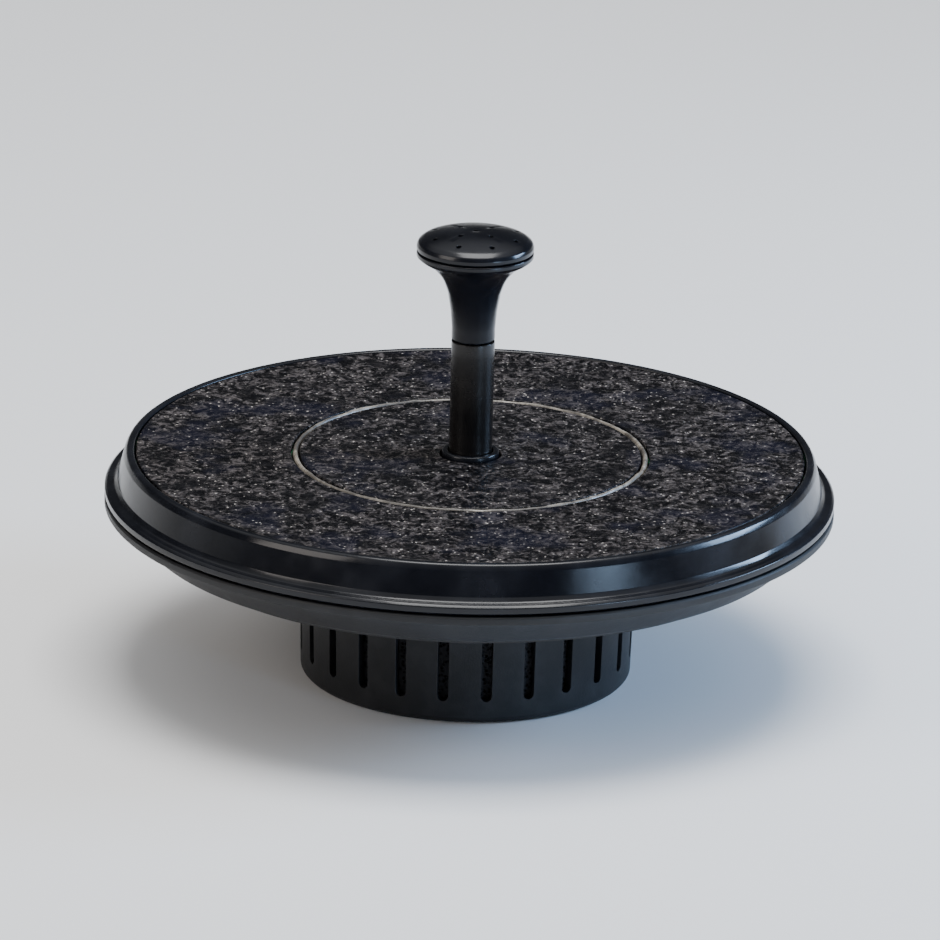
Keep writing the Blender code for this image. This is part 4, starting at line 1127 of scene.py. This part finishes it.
def core_bm():
    """The four-pole lamination, drawn finely, as one closed ring."""
    yoke, tip, shoe, neck, half_shoe = 9.95, 6.9, 8.0, 1.55, math.radians(33)
    inner = []
    for pole in range(4):
        centre = TAU * pole / 4 + TAU / 8
        c, s = math.cos(centre), math.sin(centre)

        def along(radial, sideways):
            return (radial * c - sideways * s, radial * s + sideways * c)

        inner.append(along(math.sqrt(yoke ** 2 - neck ** 2), -neck))
        inner.append(along(shoe, -neck))
        inner.append(along(shoe * math.cos(half_shoe), -shoe * math.sin(half_shoe)))
        for k in range(21):
            a = centre - half_shoe + 2 * half_shoe * k / 20
            inner.append((tip * math.cos(a), tip * math.sin(a)))
        inner.append(along(shoe * math.cos(half_shoe), shoe * math.sin(half_shoe)))
        inner.append(along(shoe, neck))
        inner.append(along(math.sqrt(yoke ** 2 - neck ** 2), neck))
        start = centre + math.asin(neck / yoke)
        end = centre + TAU / 4 - math.asin(neck / yoke)
        for k in range(1, 16):
            a = start + (end - start) * k / 16
            inner.append((yoke * math.cos(a), yoke * math.sin(a)))
    curve = bpy.data.curves.new("core", "CURVE")
    curve.dimensions, curve.fill_mode, curve.extrude = "2D", "BOTH", 3.4 * MM
    outer = [(11.1 * math.cos(TAU * k / 112), 11.1 * math.sin(TAU * k / 112)) for k in range(112)]
    for outline in (outer, inner):
        spline = curve.splines.new("POLY")
        spline.points.add(len(outline) - 1)
        for target, (x, y) in zip(spline.points, outline):
            target.co = (x * MM, y * MM, 0, 1)
        spline.use_cyclic_u = True
    shape = link(bpy.data.objects.new("core", curve))
    bpy.context.view_layer.update()
    mesh = bpy.data.meshes.new_from_object(shape.evaluated_get(bpy.context.evaluated_depsgraph_get()))
    bpy.data.objects.remove(shape, do_unlink=True)
    bm = bmesh.new()
    bm.from_mesh(mesh)
    bpy.data.meshes.remove(mesh)
    bmesh.ops.remove_doubles(bm, verts=bm.verts, dist=1e-6)
    bmesh.ops.translate(bm, verts=bm.verts, vec=(0, 0, -11.4 * MM))
    return bm


add(finish("stator_core_stack", core_bm(), LAMINATION, 30, TO_PUMP), "float", "core_steel", "stator_core")

motor_card = lathe(
    "motor_board_ring", [(6.85, -18.5), (11.1, -18.5), (11.1, -17.5), (6.85, -17.5)],
    BOARD, 96, 0.08, 2, matrix=TO_PUMP,
)
combine(motor_card, cutter(box_bm((-13.0, -2.2, -19.5), (-6.0, 2.2, -16.5)), TO_PUMP))
add(tidy(motor_card, BOARD, sharp=35), "float", "circuit_board", "motor_board")
plug = lathe(
    "potting_plug_cast", [(0.0, -21.85, 0), (9.0, -21.9, 3.0), (11.1, -22.05, 0.2), (11.1, -19.5), (0.0, -19.5, 0)],
    RESIN, 96, 0.3, 4, matrix=TO_PUMP,
)
combine(plug, cutter(rod_bm(1.6, -24.0, -18.0, 28, (-7.6, 0)), TO_PUMP))
add(tidy(plug, RESIN, sharp=35), "float", "potting_resin", "potting_plug")


# ======================================================= studio, camera, lights
def stage_piece(name, bm, look):
    obj = finish(name, bm, look, 60)
    return obj


studio = Look("studio_paper", Specular_IOR_Level=0.2)
studio.colour(studio.mix(studio.noise(260.0, 2.0), (0.80, 0.80, 0.80), (0.83, 0.83, 0.83)))
studio.roughness(studio.ramp(studio.noise(3.0), 0.3, 0.7, 0.78, 0.86))

bm = bmesh.new()
bmesh.ops.create_grid(bm, x_segments=2, y_segments=2, size=40.0)
bmesh.ops.translate(bm, verts=bm.verts, vec=(0, 0, -0.0002))
stage_piece("studio_floor", bm, studio.material)


def area(name, at, target, size, watts, colour):
    data = bpy.data.lights.new(name, "AREA")
    data.shape = "RECTANGLE"
    data.size, data.size_y = size
    data.energy = watts
    data.color = colour
    lamp = link(bpy.data.objects.new(name, data))
    lamp.visible_camera = False
    lamp.location = at
    lamp.rotation_euler = (Vector(target) - Vector(at)).to_track_quat("-Z", "Y").to_euler()
    return lamp


area("key_right", (0.60, 0.08, 0.285), (0.05, -0.03, 0.045), (0.30, 0.15), 4.8, (0.46, 0.67, 1.0))
area("front_right", (0.62, -0.66, 0.07), (0.0, 0.0, 0.065), (0.18, 0.11), 3.0, (0.50, 0.71, 1.0))
area("fill_left", (-0.9, -0.55, 0.62), (0.0, 0.0, 0.05), (0.6, 0.6), 5.0, (1.0, 0.93, 0.87))
area("top_soft", (0.05, 0.0, 1.2), (0.0, 0.0, 0.0), (0.7, 0.7), 16.0, (1.0, 1.0, 1.0))

# The sky is a large soft box overhead. It is pale again close to the horizon, and
# dim between, as flags beside a soft box leave it.
world = bpy.data.worlds.new("studio_world")
world.use_nodes = True
tree = world.node_tree
coords = tree.nodes.new("ShaderNodeTexCoord")
parts = tree.nodes.new("ShaderNodeSeparateXYZ")
ramp = tree.nodes.new("ShaderNodeValToRGB")
tree.links.new(coords.outputs["Generated"], parts.inputs[0])
tree.links.new(parts.outputs["Z"], ramp.inputs["Fac"])
tree.links.new(ramp.outputs["Color"], tree.nodes["Background"].inputs["Color"])
stops = ((0.0, 0.74), (0.045, 0.74), (0.10, 0.07), (0.50, 0.06), (0.80, 0.95), (1.0, 1.0))
while len(ramp.color_ramp.elements) < len(stops):
    ramp.color_ramp.elements.new(0.5)
for element, (position, tone) in zip(ramp.color_ramp.elements, stops):
    element.position = position
    element.color = (tone * 0.97, tone * 0.985, tone, 1.0)
tree.nodes["Background"].inputs["Strength"].default_value = 0.8
bpy.context.scene.world = world

ELEVATION = math.radians(18.5)
ROLL = math.radians(1.4)
DISTANCE = 2.4
AIM = Vector((0.0, 0.0, 0.046))
camera_data = bpy.data.cameras.new("camera")
camera_data.sensor_width = 36.0
camera_data.lens = 36.0 * DISTANCE / 0.206
camera_data.clip_start = 0.05
camera_data.clip_end = 20.0
camera = link(bpy.data.objects.new("camera", camera_data))
camera.location = AIM + DISTANCE * Vector((0.0, -math.cos(ELEVATION), math.sin(ELEVATION)))
facing = (AIM - camera.location).to_track_quat("-Z", "Y").to_matrix().to_4x4()
camera.rotation_euler = (facing @ Matrix.Rotation(ROLL, 4, "Z")).to_euler()
bpy.context.scene.camera = camera
